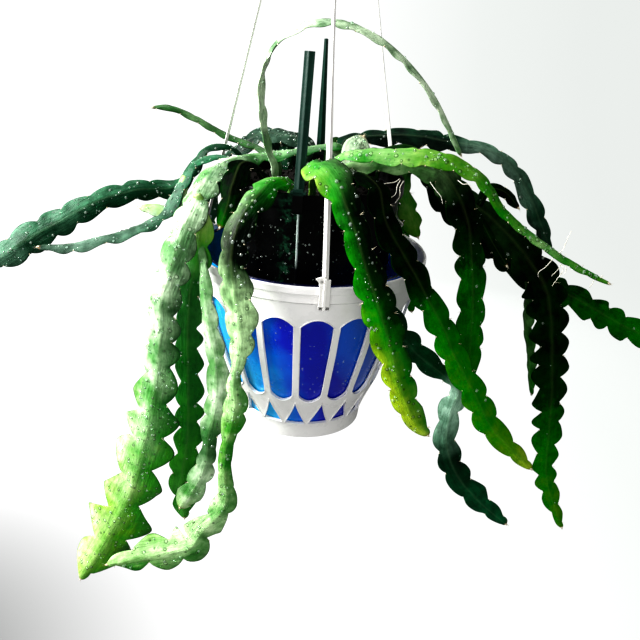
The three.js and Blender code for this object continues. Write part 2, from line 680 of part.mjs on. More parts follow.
// Skins a row of six-point rings and closes both ends
function skin(rings) {
  const n = rings[0].length;
  const triangles = [];
  for (let i = 0; i + 1 < rings.length; i++)
    for (let k = 0; k < n; k++) {
      const [a, b] = [i * n + k, i * n + ((k + 1) % n)];
      // Each half of the front and of the back is split along the same diagonal
      if (k < 3) triangles.push([a, b, a + n], [b, b + n, a + n]);
      else triangles.push([a, b, b + n], [a, b + n, a + n]);
    }
  const last = (rings.length - 1) * n;
  for (let k = 1; k + 1 < n; k++) {
    triangles.push([0, k + 1, k]);
    triangles.push([last, last + k, last + k + 1]);
  }
  return indexedGeometry(rings.flat(), triangles);
}

function stemGeometry({ name, path, face, width, cut, lobes }) {
  const points = path.map((p) => new THREE.Vector3(...p));
  const curve = new THREE.CatmullRomCurve3(points, false, "centripetal");
  const length = curve.getLength();
  const step = REAR_STEMS.includes(name) ? LOBE_COARSE : LOBE;
  const places = lobes.map(([f, lobe]) => [lobe, f]);
  const count = lobes.at(-1)[1] * step.length;
  const rooted = path[0][2] < SOIL_TOP && Math.hypot(path[0][0], path[0][1]) < NURSERY_RADIUS;
  const rings = [];
  for (let i = 0; i <= count; i++) {
    const f = keyed(places, i / step.length)[0];
    const tangent = curve.getTangentAt(f);
    const side = new THREE.Vector3(...keyed(face, f)).cross(tangent).normalize();
    const normal = tangent.clone().cross(side);
    const neck = rooted ? NECK_WIDTH + NECK_SPREAD * Math.max(0, f * length - NECK_LENGTH) : Infinity;
    const half = Math.min(keyed(width, f)[0], neck) / 2;
    const notch = f * length < NECK_LENGTH ? 0 : keyed(cut, f)[0];
    const edgeOf = (k) => half * (1 - notch * (1 - step[k % step.length]));
    const rib = Math.min(MIDRIB_HALF_THICKNESS, half * 0.45);
    const edge = Math.min(MARGIN_HALF_THICKNESS, rib * 0.8);
    rings.push(ring(curve.getPointAt(f), side, normal, edgeOf(i), edgeOf(i + 1), edge, rib));
  }
  return skin(rings);
}

function addStems() {
  for (const stem of STEMS) {
    const slot = YOUNG_STEMS.includes(stem.name)
      ? "stem_young"
      : PALE_STEMS.includes(stem.name)
        ? "stem_pale"
        : "stem_green";
    const shoots = SHOOTS.filter(({ from }) => from === stem.name);
    const pieces = [stem, ...shoots].map(stemGeometry);
    const geometry = pieces.length > 1 ? joined(pieces) : pieces[0];
    addMesh(pot, "stem_" + stem.name, geometry, slot);
  }
}

// A straight strap from one point to another, as wide as its keyed widths
function strap(from, to, normal, widths, thickness) {
  const along = to.clone().sub(from).normalize();
  const side = normal.clone().cross(along).normalize();
  const out = along.clone().cross(side);
  const rings = widths.map(([f, width]) => {
    const middle = from.clone().lerp(to, f);
    return ring(middle, side, out, width / 2, width / 2, thickness * 0.3, thickness / 2);
  });
  return skin(rings);
}

function box(x0, x1, y0, y1, z0, z1) {
  const geometry = new THREE.BoxGeometry(x1 - x0, y1 - y0, z1 - z0);
  return geometry.translate((x0 + x1) / 2, (y0 + y1) / 2, (z0 + z1) / 2);
}

// One arm at the front: a ridged strap, a plate over the rim with a barb, and a foot that catches
// under the rim's lower band
function armGeometry() {
  const inner = -RIM_RADIUS - GAP;
  const outer = inner - CLIP_THICKNESS;
  const middle = inner - CLIP_THICKNESS / 2;
  const top = new THREE.Vector3(0, -ARM_TOP_RADIUS, HUB_BOTTOM - 2 * GAP);
  const bottom = new THREE.Vector3(0, middle, CLIP_TOP / 2);
  const half = CLIP_WIDTH / 2;
  const footTop = BODY_TOP - GAP;
  const footBottom = footTop - CLIP_FOOT.thickness;
  const barb = new THREE.Shape([
    new THREE.Vector2(-half, CLIP_TOP - BARB.halfHeight),
    new THREE.Vector2(0, CLIP_TOP - BARB.halfHeight),
    new THREE.Vector2(0, CLIP_TOP + BARB.halfHeight),
    new THREE.Vector2(-half - BARB.reach, CLIP_TOP + BARB.tipRise),
  ]);
  const barbPlate = new THREE.ExtrudeGeometry(barb, { depth: CLIP_THICKNESS, bevelEnabled: false });
  barbPlate.rotateX(Math.PI / 2).translate(0, inner, 0);
  const { halfWidth, proud } = CLIP_RIDGE;
  return joined([
    strap(top, bottom, new THREE.Vector3(0, -1, 0.25), ARM_WIDTHS, ARM_THICKNESS),
    box(-half, half, outer, inner, footBottom, CLIP_TOP),
    box(-half, half, outer, inner + CLIP_FOOT.reach, footBottom, footTop),
    box(-half, half, middle, inner + CLIP_SEAT.reach, GAP, GAP + CLIP_SEAT.thickness),
    box(-halfWidth, halfWidth, outer - proud, middle, footBottom, CLIP_TOP + proud),
    barbPlate,
  ]);
}

function hookGeometry() {
  const hub = turned(
    [
      [HUB_BOTTOM, 0],
      [HUB_BOTTOM, HUB_RADIUS],
      [HUB_BOTTOM + HUB_FOOT_HEIGHT, HUB_RADIUS],
      [HUB_TOP, HUB_TIP_RADIUS],
      [HUB_TOP, 0],
    ],
    HUB_SIDES,
  );
  const bend = HOOK_INNER_RADIUS + HOOK_WIRE_RADIUS;
  const centre = HANG_DROP - HOOK_INNER_RADIUS;
  const points = [
    new THREE.Vector3(0, 0, HUB_TOP - HOOK_ROOT),
    new THREE.Vector3(0, 0, centre - bend - HOOK_NECK),
    new THREE.Vector3(bend * HOOK_SWAY.side, 0, centre - bend * HOOK_SWAY.below),
  ];
  const { from, to, step } = HOOK_BEND_DEGREES;
  for (let degrees = from; degrees <= to; degrees += step) {
    const angle = THREE.MathUtils.degToRad(degrees);
    points.push(new THREE.Vector3(bend * Math.cos(angle), 0, centre + bend * Math.sin(angle)));
  }
  const section = new THREE.Shape().absarc(0, 0, HOOK_WIRE_RADIUS, 0, 2 * Math.PI);
  const wire = new THREE.ExtrudeGeometry(section, {
    steps: HOOK_WIRE_STEPS,
    curveSegments: 4,
    extrudePath: new THREE.CatmullRomCurve3(points, false, "centripetal"),
  });
  return joined([hub, wire]);
}

function addHanger() {
  addMesh(pot, "hanger_hook", hookGeometry(), "hanger_white");
  const arm = armGeometry();
  for (const [name, degrees] of Object.entries(ARM_ANGLES)) {
    const mesh = addMesh(pot, "hanger_arm_" + name, arm, "hanger_white");
    mesh.rotation.z = THREE.MathUtils.degToRad(degrees);
  }
}

// A cut-off arm standing on the nursery pot's rim at the front: it leans inwards above a clip
function uprightGeometry({ height, lean, topWidth, thickness }) {
  const outside = NURSERY_RADIUS + GAP;
  const proud = outside + UPRIGHT_CLIP_WALL;
  const seat = NURSERY_TOP + GAP;
  const hook = NURSERY_TOP - NURSERY_LIP - GAP;
  const half = UPRIGHT_WIDTH / 2;
  const from = new THREE.Vector3(0, -outside + thickness / 2, seat + UPRIGHT_CLIP_WALL / 2);
  const to = new THREE.Vector3(0, -outside + lean, NURSERY_TOP + height);
  const widths = [[0, UPRIGHT_WIDTH], [1, topWidth]];
  const { overhang, reach } = UPRIGHT_SEAT;
  return joined([
    strap(from, to, new THREE.Vector3(0, -1, 0.2), widths, thickness),
    box(-half, half, -proud, -outside, hook - UPRIGHT_CLIP_WALL, seat + 2 * UPRIGHT_CLIP_WALL),
    box(-half - overhang, half + overhang, -proud, -outside + reach, seat, seat + UPRIGHT_CLIP_WALL),
    box(-half, half, -proud, -nurseryRadius(hook) - GAP, hook - UPRIGHT_CLIP_WALL, hook),
  ]);
}

function addUprights() {
  for (const [name, upright] of Object.entries({ front: UPRIGHT_FRONT, back: UPRIGHT_BACK })) {
    const mesh = addMesh(pot, "upright_" + name, uprightGeometry(upright), "upright_dark");
    mesh.rotation.z = THREE.MathUtils.degToRad(upright.turn);
  }
}

addMesh(pot, "planter", planterGeometry(), "planter_white");
addMesh(pot, "liner", linerGeometry(), "liner_blue");
addMesh(pot, "nursery_pot", nurseryGeometry(), "nursery_black");
addMesh(pot, "soil", soilGeometry(), "soil");
addHanger();
addUprights();
addStems();

export default part;
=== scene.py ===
# Lepismium bolivianum in its nursery pot and hanging planter: fine shapes, finishes, light and camera.
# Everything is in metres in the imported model's frame, with +Z up and -Y towards the viewer. Sizes of the
# pots, the hanger and the stems are in millimetres, measured from the middle of the planter's rim.

import bisect
import math
import random

import bmesh
import bpy
from mathutils import Matrix, Vector, noise


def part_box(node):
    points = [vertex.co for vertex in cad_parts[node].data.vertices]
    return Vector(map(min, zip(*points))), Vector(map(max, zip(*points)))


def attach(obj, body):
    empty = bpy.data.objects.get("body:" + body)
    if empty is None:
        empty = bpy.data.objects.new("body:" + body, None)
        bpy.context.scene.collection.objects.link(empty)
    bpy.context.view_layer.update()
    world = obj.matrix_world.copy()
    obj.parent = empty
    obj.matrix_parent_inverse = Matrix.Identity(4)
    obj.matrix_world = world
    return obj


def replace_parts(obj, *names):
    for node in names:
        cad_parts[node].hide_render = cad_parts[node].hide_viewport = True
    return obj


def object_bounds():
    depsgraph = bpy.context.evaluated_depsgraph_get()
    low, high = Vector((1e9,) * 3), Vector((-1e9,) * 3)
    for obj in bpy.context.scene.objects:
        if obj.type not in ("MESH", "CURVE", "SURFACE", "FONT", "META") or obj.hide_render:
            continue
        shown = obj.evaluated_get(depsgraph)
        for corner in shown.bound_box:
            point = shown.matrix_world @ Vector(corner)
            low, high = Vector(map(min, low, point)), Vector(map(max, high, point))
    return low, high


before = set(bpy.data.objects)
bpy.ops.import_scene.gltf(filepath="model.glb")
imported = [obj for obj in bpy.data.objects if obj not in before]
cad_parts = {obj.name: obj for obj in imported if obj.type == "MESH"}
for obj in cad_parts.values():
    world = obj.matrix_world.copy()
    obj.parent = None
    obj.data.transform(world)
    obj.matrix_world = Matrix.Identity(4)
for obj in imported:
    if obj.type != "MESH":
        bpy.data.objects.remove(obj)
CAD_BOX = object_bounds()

MM = 0.001
RIM_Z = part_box("planter")[1][2]
HOOK_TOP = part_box("hanger_hook")[1][2]

# Camera, placed from the middle of the planter's rim
CAMERA_BACK = 654.5
CAMERA_HEIGHT = 213.6
CAMERA_PITCH = 23.34
CAMERA_YAW = 1.15
CAMERA_ROLL = 3.87
CAMERA_LENS = 45
CAMERA_SENSOR = 36

# Planter: outside radius of its wall by height, and one bay from a rib (place 0) to a window (place 1)
BODY = [(-158, 54), (-143, 56.5), (-110, 69), (-88, 77), (-62, 85), (-37, 90.6), (-14, 94.5)]
BAYS = 18
RIB_TURN = -3.7
WALL = 2.4
RIM_RADIUS = 100
WINDOW_SPRING, WINDOW_CROWN = -37, -30
WINDOW_FOOT, WINDOW_SAG = -110, -116
RIB_HALF_TOP, RIB_HALF_FOOT = 0.16, 0.2
TRIANGLE_APEX, TRIANGLE_BASE, TRIANGLE_REACH = -117.5, -143, 0.92
TRIANGLE_BOW = 0.1
LINER_OFFSET = 3.4
LINER_WALL = 1.2

# Nursery pot and soil
NURSERY_RADIUS = 75
NURSERY_TOP = 63
NURSERY_LIP = 12
NURSERY_LIP_STEP = 3
NURSERY_FOOT = -120
NURSERY_FOOT_RADIUS = 60.2
NURSERY_WALL = 1.6
SOIL_TOP = 50

# Hanger: its hub, its hook and three arms, each with a clip over the planter's rim
GAP = 0.4
HUB_BOTTOM, HUB_TOP, HUB_RADIUS = 380, 414, 10
HUB_RIBS, HUB_RIB_HALF = 6, 0.7
HOOK_WIRE, HOOK_BEND = 2.6, 11.6
ARM_TURNS = {"front": 7.5, "right": 127.5, "left": 247.5}
ARM_WIDTHS = [(0, 2.8), (0.62, 3), (0.78, 5), (1, 5)]
ARM_THICKNESS, ARM_TOP_RADIUS, ARM_FOOT = 2.6, 7.4, 3
CLIP_WIDTH, CLIP_WALL, CLIP_TOP = 8, 2.2, 7
CLIP_FOOT = {"thickness": 2.6, "reach": 5}
CLIP_SEAT = {"thickness": 2, "reach": 4.4}
CLIP_RIDGE = {"half_width": 1, "proud": 0.9}
CLIP_BARB = {"reach": 3.5, "half_height": 3, "slant": 3.2, "drop": 2.4}

# The cut-off arms of the nursery pot's own hanger
UPRIGHT_FRONT = {"turn": -8.1, "height": 100, "lean": 18.4, "top_width": 8, "thickness": 3.4}
UPRIGHT_BACK = {"turn": 176.4, "height": 101, "lean": 16.4, "top_width": 3.4, "thickness": 2.6}
UPRIGHT_WIDTH, UPRIGHT_CLIP = 8, 2
UPRIGHT_SEAT = {"spread": 2, "reach": 5}

# Small detail: the nursery pot's seam, the soil's crumbs and the drops on the pots
SEAM = {"turn": -8, "foot": -40, "proud": 0.1, "half_width": 0.9, "half_depth": 0.8}
CRUMBS, LINER_DROPS, NURSERY_DROPS = 420, 260, 240

# Paper that the object hangs over, in metres. It lies flat up to one share of its length, is bent up
# into a wall by the next, and stands from there on.
PAPER_DROP, PAPER_HALF_WIDTH = 0.35, 5
PAPER_FRONT, PAPER_FLOOR, PAPER_BEND, PAPER_RISE = -2.6, 4.4, 1.2, 12
PAPER_FLAT, PAPER_BENT = 0.55, 0.8

# Lights: place in metres from the middle of the rim, size, power and whether it shows as a gleam
LIGHTS = {
    "window": ((-1.5, -0.25, 0.8), 1.1, 70, True),
    "fill": ((-0.1, -1.7, 0.3), 1.2, 11, False),
    "top": ((-0.3, 0.5, 1.5), 1.0, 9, True),
    "back": ((0.5, 1.7, 0.1), 1.2, 14, False),
}
SKY_LIGHT, SKY_SEEN = 0.17, 0.95

# Greens of a skin, from the deepest to the youngest; the near-black deepest ones are painted shade for stems
# in shadow
DEEP = [
    (0.0002, 0.003, 0.0005), (0.0004, 0.035, 0.001), (0.004, 0.19, 0.001), (0.08, 0.24, 0.003),
    (0.3, 0.44, 0.01),
]
COOL = [
    (0.0005, 0.006, 0.003), (0.001, 0.042, 0.014), (0.006, 0.14, 0.05), (0.05, 0.2, 0.04),
    (0.26, 0.39, 0.05),
]
FRESH = [
    (0.0005, 0.02, 0.003), (0.005, 0.12, 0.008), (0.03, 0.24, 0.01), (0.12, 0.33, 0.008),
    (0.3, 0.46, 0.012),
]
GREEN_STOPS = (0.05, 0.3, 0.55, 0.75, 0.95)
WET_BLACK = (0.0012, 0.0014, 0.0014)

# Each skin's name, greens, pale colour of its painted wet sheen, roughness and gleam. Stem green is a dull
# copy with almost no gleam, for stems in shade, and wet the glossy copy for stems in the light
SKINS = {
    "stem_green": ("stem green", DEEP, (0.5, 0.62, 0.38), 0.55, 0.012),
    "wet": ("stem wet green", DEEP, (0.52, 0.75, 0.4), 0.42, 0.06),
    "cool": ("stem blue green", COOL, (0.48, 0.68, 0.55), 0.45, 0.08),
    "stem_young": ("stem young", FRESH, (0.5, 0.66, 0.4), 0.4, 0.3),
    "stem_pale": ("stem pale", FRESH, (0.62, 0.77, 0.54), 0.36, 0.3),
}

# Stems: lobes on the right margin run a third of a lobe ahead of the left's, or half a lobe on these
HALF_SHIFTED = ("back_left", "back_mid", "back_right", "rear_centre", "rear_right")
RING_STEP = 1.7
SECTION_SIDES = 24
NECK_WIDTH, NECK_LENGTH, NECK_SPREAD = 9, 15, 0.8
MARGIN_HALF_THICKNESS, MIDRIB_HALF_THICKNESS, MIDRIB_SPREAD = 0.5, 1.7, 3.5
FOLD = 0.16
DRY_TIP = 3

# Each stem: points along its middle in millimetres, then, keyed by the fraction of its length, where its
# broad side faces, its width, how deep its notches cut, its tone (age from deep green to young
# yellow-green, partly painted shade, low where the stem lies in shadow, and paleness, a painted wet
# sheen) and the lobes passed. Peak is where a lobe stands out most, lean how its age shifts from left to
# right, painted shade on the side turned from the light, sheen how much paler its left side is, a painted
# sheen from the light on the left, fold how far its margins bend back, bristles how many more each notch
# has, and drops the water drops per millimetre. Skin names its finish where that isn't its slot's. A row
# with "from" is a side shoot.
STEMS = [
    {
        "name": "left_high",
        "slot": "stem_green",
        "path": [
            (-56, 16, 38), (-57, 16, 60), (-68, 15, 75), (-88, 11, 76), (-113, 2, 44),
            (-143, -6, 41), (-174, -13, 32), (-206, -19, 14), (-237, -24, -5), (-263, -26, -24),
        ],
        "face": [
            (0, 1, 0, 0), (0.12, 0, 0, 1), (0.28, 0, -0.2, 1), (0.45, 0, -0.92, 0.39),
            (1, 0, -0.92, 0.39),
        ],
        "width": [
            (0, 9), (0.12, 13), (0.25, 15), (0.42, 18), (0.6, 20), (0.75, 25), (0.9, 30), (1, 20),
        ],
        "cut": [(0, 0.32)],
        "tone": [(0, 0.24, 0.02), (0.35, 0.3, 0.02), (0.6, 0.32, 0.03), (1, 0.32, 0.1)],
        "lobes": [(0, 0), (1, 11)],
        "lean": -0.08,
        "drops": 0.3,
        "fold": 0.2,
        "sheen": 0.04,
        "skin": "cool",
    },
    {
        "name": "left_low",
        "slot": "stem_pale",
        "path": [
            (-60, -1, 38), (-61, -1, 58), (-74, -1, 71), (-97, -6, 66), (-122, -19, 26),
            (-146, -30, 13), (-170, -34, 6), (-194, -36, -1), (-220, -38, -3),
        ],
        "face": [(0, 1, 0, 0), (0.2, 0, 0, 1), (1, 0, -0.15, 1)],
        "width": [(0, 9), (0.15, 13), (0.25, 14), (0.4, 20), (0.85, 22), (1, 8)],
        "cut": [(0, 0.26)],
        "tone": [
            (0, 0.45, 0.1), (0.35, 0.42, 0.12), (0.55, 0.3, 0.14), (0.8, 0.2, 0.16), (1, 0.2, 0.2),
        ],
        "lobes": [(0, 0), (1, 9)],
        "drops": 0.45,
        "fold": 0.25,
        "sheen": 0.1,
        "skin": "cool",
    },
    {
        "name": "left_whip",
        "slot": "stem_young",
        "path": [
            (-30, 30, 38), (-31, 31, 62), (-46, 38, 71), (-60, 42, 75), (-79, 44, 81),
            (-105, 42, 94), (-125, 38, 102), (-140, 34, 102),
        ],
        "face": [(0, 1, -0.4, 0), (0.3, 0.4, -0.5, 1), (1, 0, -0.5, 1)],
        "width": [(0, 8), (0.4, 9), (0.9, 8), (1, 3)],
        "cut": [(0, 0.3)],
        "tone": [(0, 0.22, 0.08), (0.5, 0.24, 0.12), (1, 0.26, 0.16)],
        "lobes": [(0, 0), (1, 8)],
        "drops": 0.08,
    },
    {
        "name": "arch",
        "slot": "stem_pale",
        "path": [
            (-32, -6, 38), (-33, -5, 66), (-39, -3, 81), (-45, 0, 111), (-46, 0, 138),
            (-36, 0, 161), (-18, 0, 175), (5, 0, 181), (37, 0, 174), (63, -2, 158), (89, -6, 132),
            (106, -10, 106), (117, -12, 87),
        ],
        "face": [
            (0, -1, 0.35, 0), (0.25, -1, 0.35, 0), (0.5, 0, -0.3, 1), (0.75, 1, -0.35, 0.6),
            (1, 1, -0.35, 0),
        ],
        "width": [(0, 9), (0.15, 15), (0.85, 15), (1, 7)],
        "cut": [(0, 0.22)],
        "tone": [
            (0, 0.55, 0.5), (0.12, 0.4, 0.8), (0.3, 0.32, 0.8), (0.5, 0.28, 0.65),
            (0.75, 0.32, 0.75), (1, 0.5, 0.7),
        ],
        "lobes": [(0, 0), (1, 15)],
        "drops": 0.2,
    },
    {
        "name": "left_front",
        "slot": "stem_pale",
        "path": [
            (24, 24, 38), (23, 24, 62), (20, 18, 83), (5, 15, 82), (-13, 14, 78), (-33, 13, 74),
            (-52, 6, 72), (-67, -14, 72), (-78, -36, 68), (-85, -52, 58), (-91, -66, 45),
            (-98, -74, 26), (-104, -78, 3), (-112, -80, -26), (-113, -81, -51), (-115, -81, -77),
            (-120, -81, -109), (-125, -80, -139), (-132, -79, -167), (-140, -78, -200),
            (-155, -77, -239), (-176, -75, -282), (-193, -73, -312),
        ],
        "face": [
            (0, 1, 0.2, 0), (0.08, 0, 0, 1), (0.2, 0, -0.3, 1), (0.3, -0.3, -0.6, 0.8),
            (0.42, -0.35, -1, 0.1), (1, -0.1, -1, 0.1),
        ],
        "width": [
            (0, 9), (0.08, 18), (0.2, 20), (0.28, 26), (0.4, 28), (0.46, 31), (0.53, 30), (0.6, 34),
            (0.66, 46), (0.74, 54), (0.8, 49), (0.87, 63), (0.93, 52), (0.97, 32), (1, 8),
        ],
        "cut": [(0, 0.28), (0.5, 0.34), (0.62, 0.46), (0.75, 0.52), (1, 0.56)],
        "tone": [
            (0, 0.5, 0.16), (0.1, 0.46, 0.24), (0.2, 0.42, 0.36), (0.33, 0.42, 0.64),
            (0.4, 0.4, 0.7), (0.48, 0.34, 0.52), (0.55, 0.34, 0.34), (0.62, 0.48, 0.36),
            (0.7, 0.58, 0.26), (0.78, 0.67, 0.18), (0.88, 0.73, 0.12), (1, 0.78, 0.16),
        ],
        "lobes": [(0, 0), (0.6, 15), (0.8, 18.4), (1, 21)],
        "peak": 0.5,
        "lean": -0.2,
        "drops": 0.62,
        "fold": 0.28,
        "sheen": 0.36,
    },
    {
        "name": "front_left",
        "slot": "stem_green",
        "path": [
            (-14, -44, 38), (-15, -45, 58), (-20, -60, 70), (-31, -75, 71), (-39, -88, 64),
            (-48, -94, 52), (-54, -99, 37), (-56, -104, 19), (-53, -107, -1), (-49, -107, -27),
            (-48, -106, -49), (-52, -105, -78), (-51, -103, -103), (-54, -101, -121),
            (-58, -100, -146), (-59, -99, -171), (-57, -98, -188), (-61, -97, -208),
            (-76, -96, -228), (-87, -95, -248), (-110, -94, -258), (-137, -93, -267),
            (-163, -92, -277),
        ],
        "face": [
            (0, 0.3, 0.9, 0), (0.1, 0.1, -0.2, 1), (0.2, -0.4, -0.9, 0.7), (0.28, -0.3, -1, 0.2),
            (0.7, 0, -1, 0.1), (1, 0, -1, 0.3),
        ],
        "width": [
            (0, 9), (0.07, 14), (0.11, 24), (0.28, 25), (0.35, 29), (0.41, 20), (0.455, 8),
            (0.49, 19), (0.54, 22), (0.59, 11), (0.67, 13), (0.73, 23), (0.8, 31), (0.87, 41),
            (0.94, 31), (1, 6),
        ],
        "cut": [(0, 0.32), (0.5, 0.32), (0.6, 0.15), (0.68, 0.2), (0.76, 0.5), (1, 0.55)],
        "tone": [
            (0, 0.4, 0.05), (0.05, 0.66, 0.05), (0.1, 0.6, 0.05), (0.14, 0.46, 0.02),
            (0.17, 0.26, 0), (0.2, 0.08, 0), (0.26, 0.05, 0), (0.29, 0.3, 0.35), (0.34, 0.4, 0.8),
            (0.4, 0.45, 0.85), (0.45, 0.5, 0.6), (0.49, 0.62, 0.45), (0.56, 0.66, 0.3),
            (0.66, 0.64, 0.35), (0.75, 0.58, 0.7), (0.84, 0.6, 0.65), (0.9, 0.66, 0.4),
            (1, 0.7, 0.3),
        ],
        "lobes": [(0, 0), (0.54, 11), (0.7, 14), (1, 19)],
        "lean": -0.1,
        "drops": 0.4,
        "fold": 0.22,
        "sheen": 0.25,
        "skin": "wet",
    },
    {
        "name": "front_main",
        "slot": "stem_green",
        "path": [
            (-1, -34, 38), (-1, -35, 60), (-1, -52, 79), (-1, -70, 86), (-1, -86, 89),
            (8, -100, 89), (17, -109, 81), (24, -117, 67), (32, -125, 50), (41, -131, 26),
            (52, -134, -1), (63, -134, -31), (74, -132, -63), (87, -130, -90), (99, -129, -104),
        ],
        "face": [
            (0, -0.8, 1, 0), (0.1, -0.8, 0.2, 0.6), (0.2, -0.8, 0, 0.6), (0.27, 0, -0.6, 0.8),
            (0.4, 0, -1, 0.2), (1, 0, -1, 0.1),
        ],
        "width": [
            (0, 9), (0.1, 10), (0.22, 10), (0.285, 29), (0.34, 28), (0.42, 21), (0.52, 21),
            (0.6, 27), (0.7, 28), (0.92, 21), (1, 9),
        ],
        "cut": [(0, 0.1), (0.2, 0.15), (0.3, 0.3), (1, 0.33)],
        "tone": [
            (0, 0.54, 0.09), (0.27, 0.54, 0.1), (0.33, 0.52, 0.06), (0.37, 0.4, 0.02),
            (0.41, 0.22, 0), (0.45, 0.17, 0), (0.58, 0.28, 0), (0.68, 0.5, 0), (0.8, 0.7, 0.02),
            (0.9, 0.86, 0.05), (1, 0.92, 0.1),
        ],
        "lobes": [(0, 0), (1, 13)],
        "lean": -0.26,
        "drops": 0.3,
        "fold": 0.22,
        "bristles": 3,
        "skin": "wet",
    },
    {
        "name": "front_right",
        "slot": "stem_green",
        "path": [
            (22, -38, 38), (23, -39, 62), (33, -56, 77), (48, -77, 71), (53, -93, 53),
            (64, -99, 36), (78, -103, 16), (92, -105, -6), (104, -106, -25), (114, -106, -45),
            (131, -106, -72), (153, -105, -108), (170, -105, -125), (191, -104, -145),
        ],
        "face": [(0, 0, 1, 0), (0.15, 0.1, -0.1, 1), (0.33, 0.3, -1, 0.3), (1, 0, -1, 0.2)],
        "width": [(0, 9), (0.12, 18), (0.3, 22), (0.82, 23), (0.93, 16), (1, 6)],
        "cut": [(0, 0.34)],
        "tone": [
            (0, 0.1, 0), (0.3, 0.05, 0), (0.42, 0.12, 0), (0.52, 0.42, 0), (0.62, 0.54, 0),
            (0.8, 0.6, 0), (0.92, 0.74, 0), (1, 0.95, 0.08),
        ],
        "lobes": [(0, 0), (1, 14)],
        "drops": 0.05,
        "fold": 0.18,
    },
    {
        "name": "front_hidden",
        "slot": "stem_green",
        "path": [
            (8, -58, 38), (9, -59, 60), (19, -73, 75), (27, -91, 66), (33, -109, 52),
            (37, -111, 35), (46, -109, 12), (58, -105, -11), (72, -100, -33), (91, -95, -54),
            (111, -91, -70), (124, -90, -84), (121, -90, -104), (121, -90, -130), (133, -90, -161),
            (154, -90, -186), (184, -89, -212),
        ],
        "face": [(0, 0, 1, 0), (0.13, 0, -0.1, 1), (0.26, 0, -1, 0.2), (1, 0, -1, 0.1)],
        "width": [(0, 9), (0.15, 18), (0.5, 22), (0.58, 17), (0.615, 5), (0.66, 20), (0.9, 24), (1, 8)],
        "cut": [(0, 0.36)],
        "tone": [
            (0, 0.1, 0), (0.3, 0.1, 0), (0.45, 0.25, 0), (0.58, 0.35, 0), (0.63, 0.5, 0.5),
            (0.68, 0.48, 0.4), (0.74, 0.36, 0.15), (0.79, 0.16, 0), (0.88, 0.3, 0), (1, 0.42, 0),
        ],
        "lobes": [(0, 0), (1, 17)],
        "drops": 0.04,
        "fold": 0.18,
        "skin": "cool",
    },
    {
        "name": "right_top",
        "slot": "stem_green",
        "path": [
            (14, -2, 38), (15, -3, 60), (25, -13, 73), (41, -21, 78), (67, -28, 83), (96, -32, 79),
            (112, -36, 63), (124, -39, 40), (131, -40, 9), (137, -40, -26), (140, -40, -62),
            (144, -39, -104),
        ],
        "face": [
            (0, -1, 0.3, 0), (0.15, 0, -0.3, 1), (0.4, 0.2, -0.8, 0.8), (0.55, 0.3, -1, 0.1),
            (1, 0, -1, 0.1),
        ],
        "width": [(0, 9), (0.12, 16), (0.2, 26), (0.35, 30), (0.5, 30), (0.65, 27), (0.9, 24), (1, 12)],
        "cut": [(0, 0.32)],
        "tone": [
            (0, 0.42, 0.25), (0.2, 0.42, 0.28), (0.3, 0.42, 0.26), (0.38, 0.36, 0.16),
            (0.44, 0.2, 0.03), (0.48, 0.08, 0), (0.58, 0.15, 0), (0.72, 0.44, 0), (0.85, 0.52, 0),
            (1, 0.52, 0),
        ],
        "lobes": [(0, 0), (1, 13)],
        "drops": 0.16,
        "fold": 0.14,
        "bristles": 1,
    },
    {
        "name": "right_whip",
        "slot": "stem_young",
        "path": [
            (6, -18, 38), (7, -19, 64), (18, -28, 82), (31, -38, 88), (55, -46, 90), (80, -52, 92),
            (99, -54, 91), (113, -55, 86), (126, -56, 79), (147, -57, 55), (179, -58, 32),
            (210, -58, 15), (240, -58, 2),
        ],
        "face": [(0, -1, 0.3, 0), (0.12, -0.4, -0.3, 1), (0.3, 0.1, -0.8, 0.8), (1, 0.2, -0.8, 0.8)],
        "width": [(0, 8), (0.2, 14), (0.34, 18), (0.46, 17), (0.56, 12), (0.68, 9), (0.9, 7), (1, 3)],
        "cut": [(0, 0.26)],
        "tone": [
            (0, 0.58, 0.22), (0.16, 0.6, 0.24), (0.3, 0.62, 0.2), (0.38, 0.72, 0.1),
            (0.5, 0.72, 0.06), (0.58, 0.63, 0.06), (0.7, 0.6, 0.06), (0.78, 0.62, 0.25),
            (0.86, 0.56, 0.05), (1, 0.68, 0.1),
        ],
        "lobes": [(0, 0), (1, 15)],
        "drops": 0.5,
        "fold": 0.12,
        "skin": "wet",
    },
    {
        "name": "right_far",
        "slot": "stem_green",
        "path": [
            (38, 12, 38), (39, 12, 60), (52, 11, 80), (72, 10, 87), (88, 10, 83), (106, 6, 59),
            (132, 4, 46), (159, 2, 27), (184, 0, 4), (207, -2, -25), (217, -2, -55), (223, -2, -84),
            (230, -2, -124), (235, -2, -167), (242, -2, -220), (268, -2, -278),
        ],
        "face": [
            (0, -1, 0.2, 0), (0.1, 0, -0.1, 1), (0.17, 0, -0.3, 1), (0.3, 0.3, -0.9, 0.5),
            (0.5, 0.2, -1, 0.1), (1, 0, -1, 0.1),
        ],
        "width": [
            (0, 9), (0.1, 14), (0.18, 16), (0.32, 28), (0.48, 42), (0.62, 38), (0.8, 29),
            (0.92, 20), (1, 6),
        ],
        "cut": [(0, 0.3), (0.4, 0.36), (0.5, 0.46), (1, 0.46)],
        "tone": [
            (0, 0.2, 0), (0.3, 0.2, 0.02), (0.45, 0.1, 0), (0.58, 0.15, 0), (0.7, 0.28, 0),
            (0.8, 0.52, 0), (0.92, 0.6, 0), (1, 0.66, 0),
        ],
        "lobes": [(0, 0), (1, 22)],
        "peak": 0.63,
        "drops": 0.03,
        "fold": 0.16,
    },
    {
        "name": "right_out",
        "slot": "stem_green",
        "path": [
            (54, 28, 38), (55, 28, 60), (66, 28, 76), (84, 28, 76), (111, 29, 37), (151, 30, 9),
            (187, 31, -18), (217, 32, -34), (247, 33, -46), (273, 34, -59), (297, 35, -71),
            (323, 36, -82), (347, 36, -94),
        ],
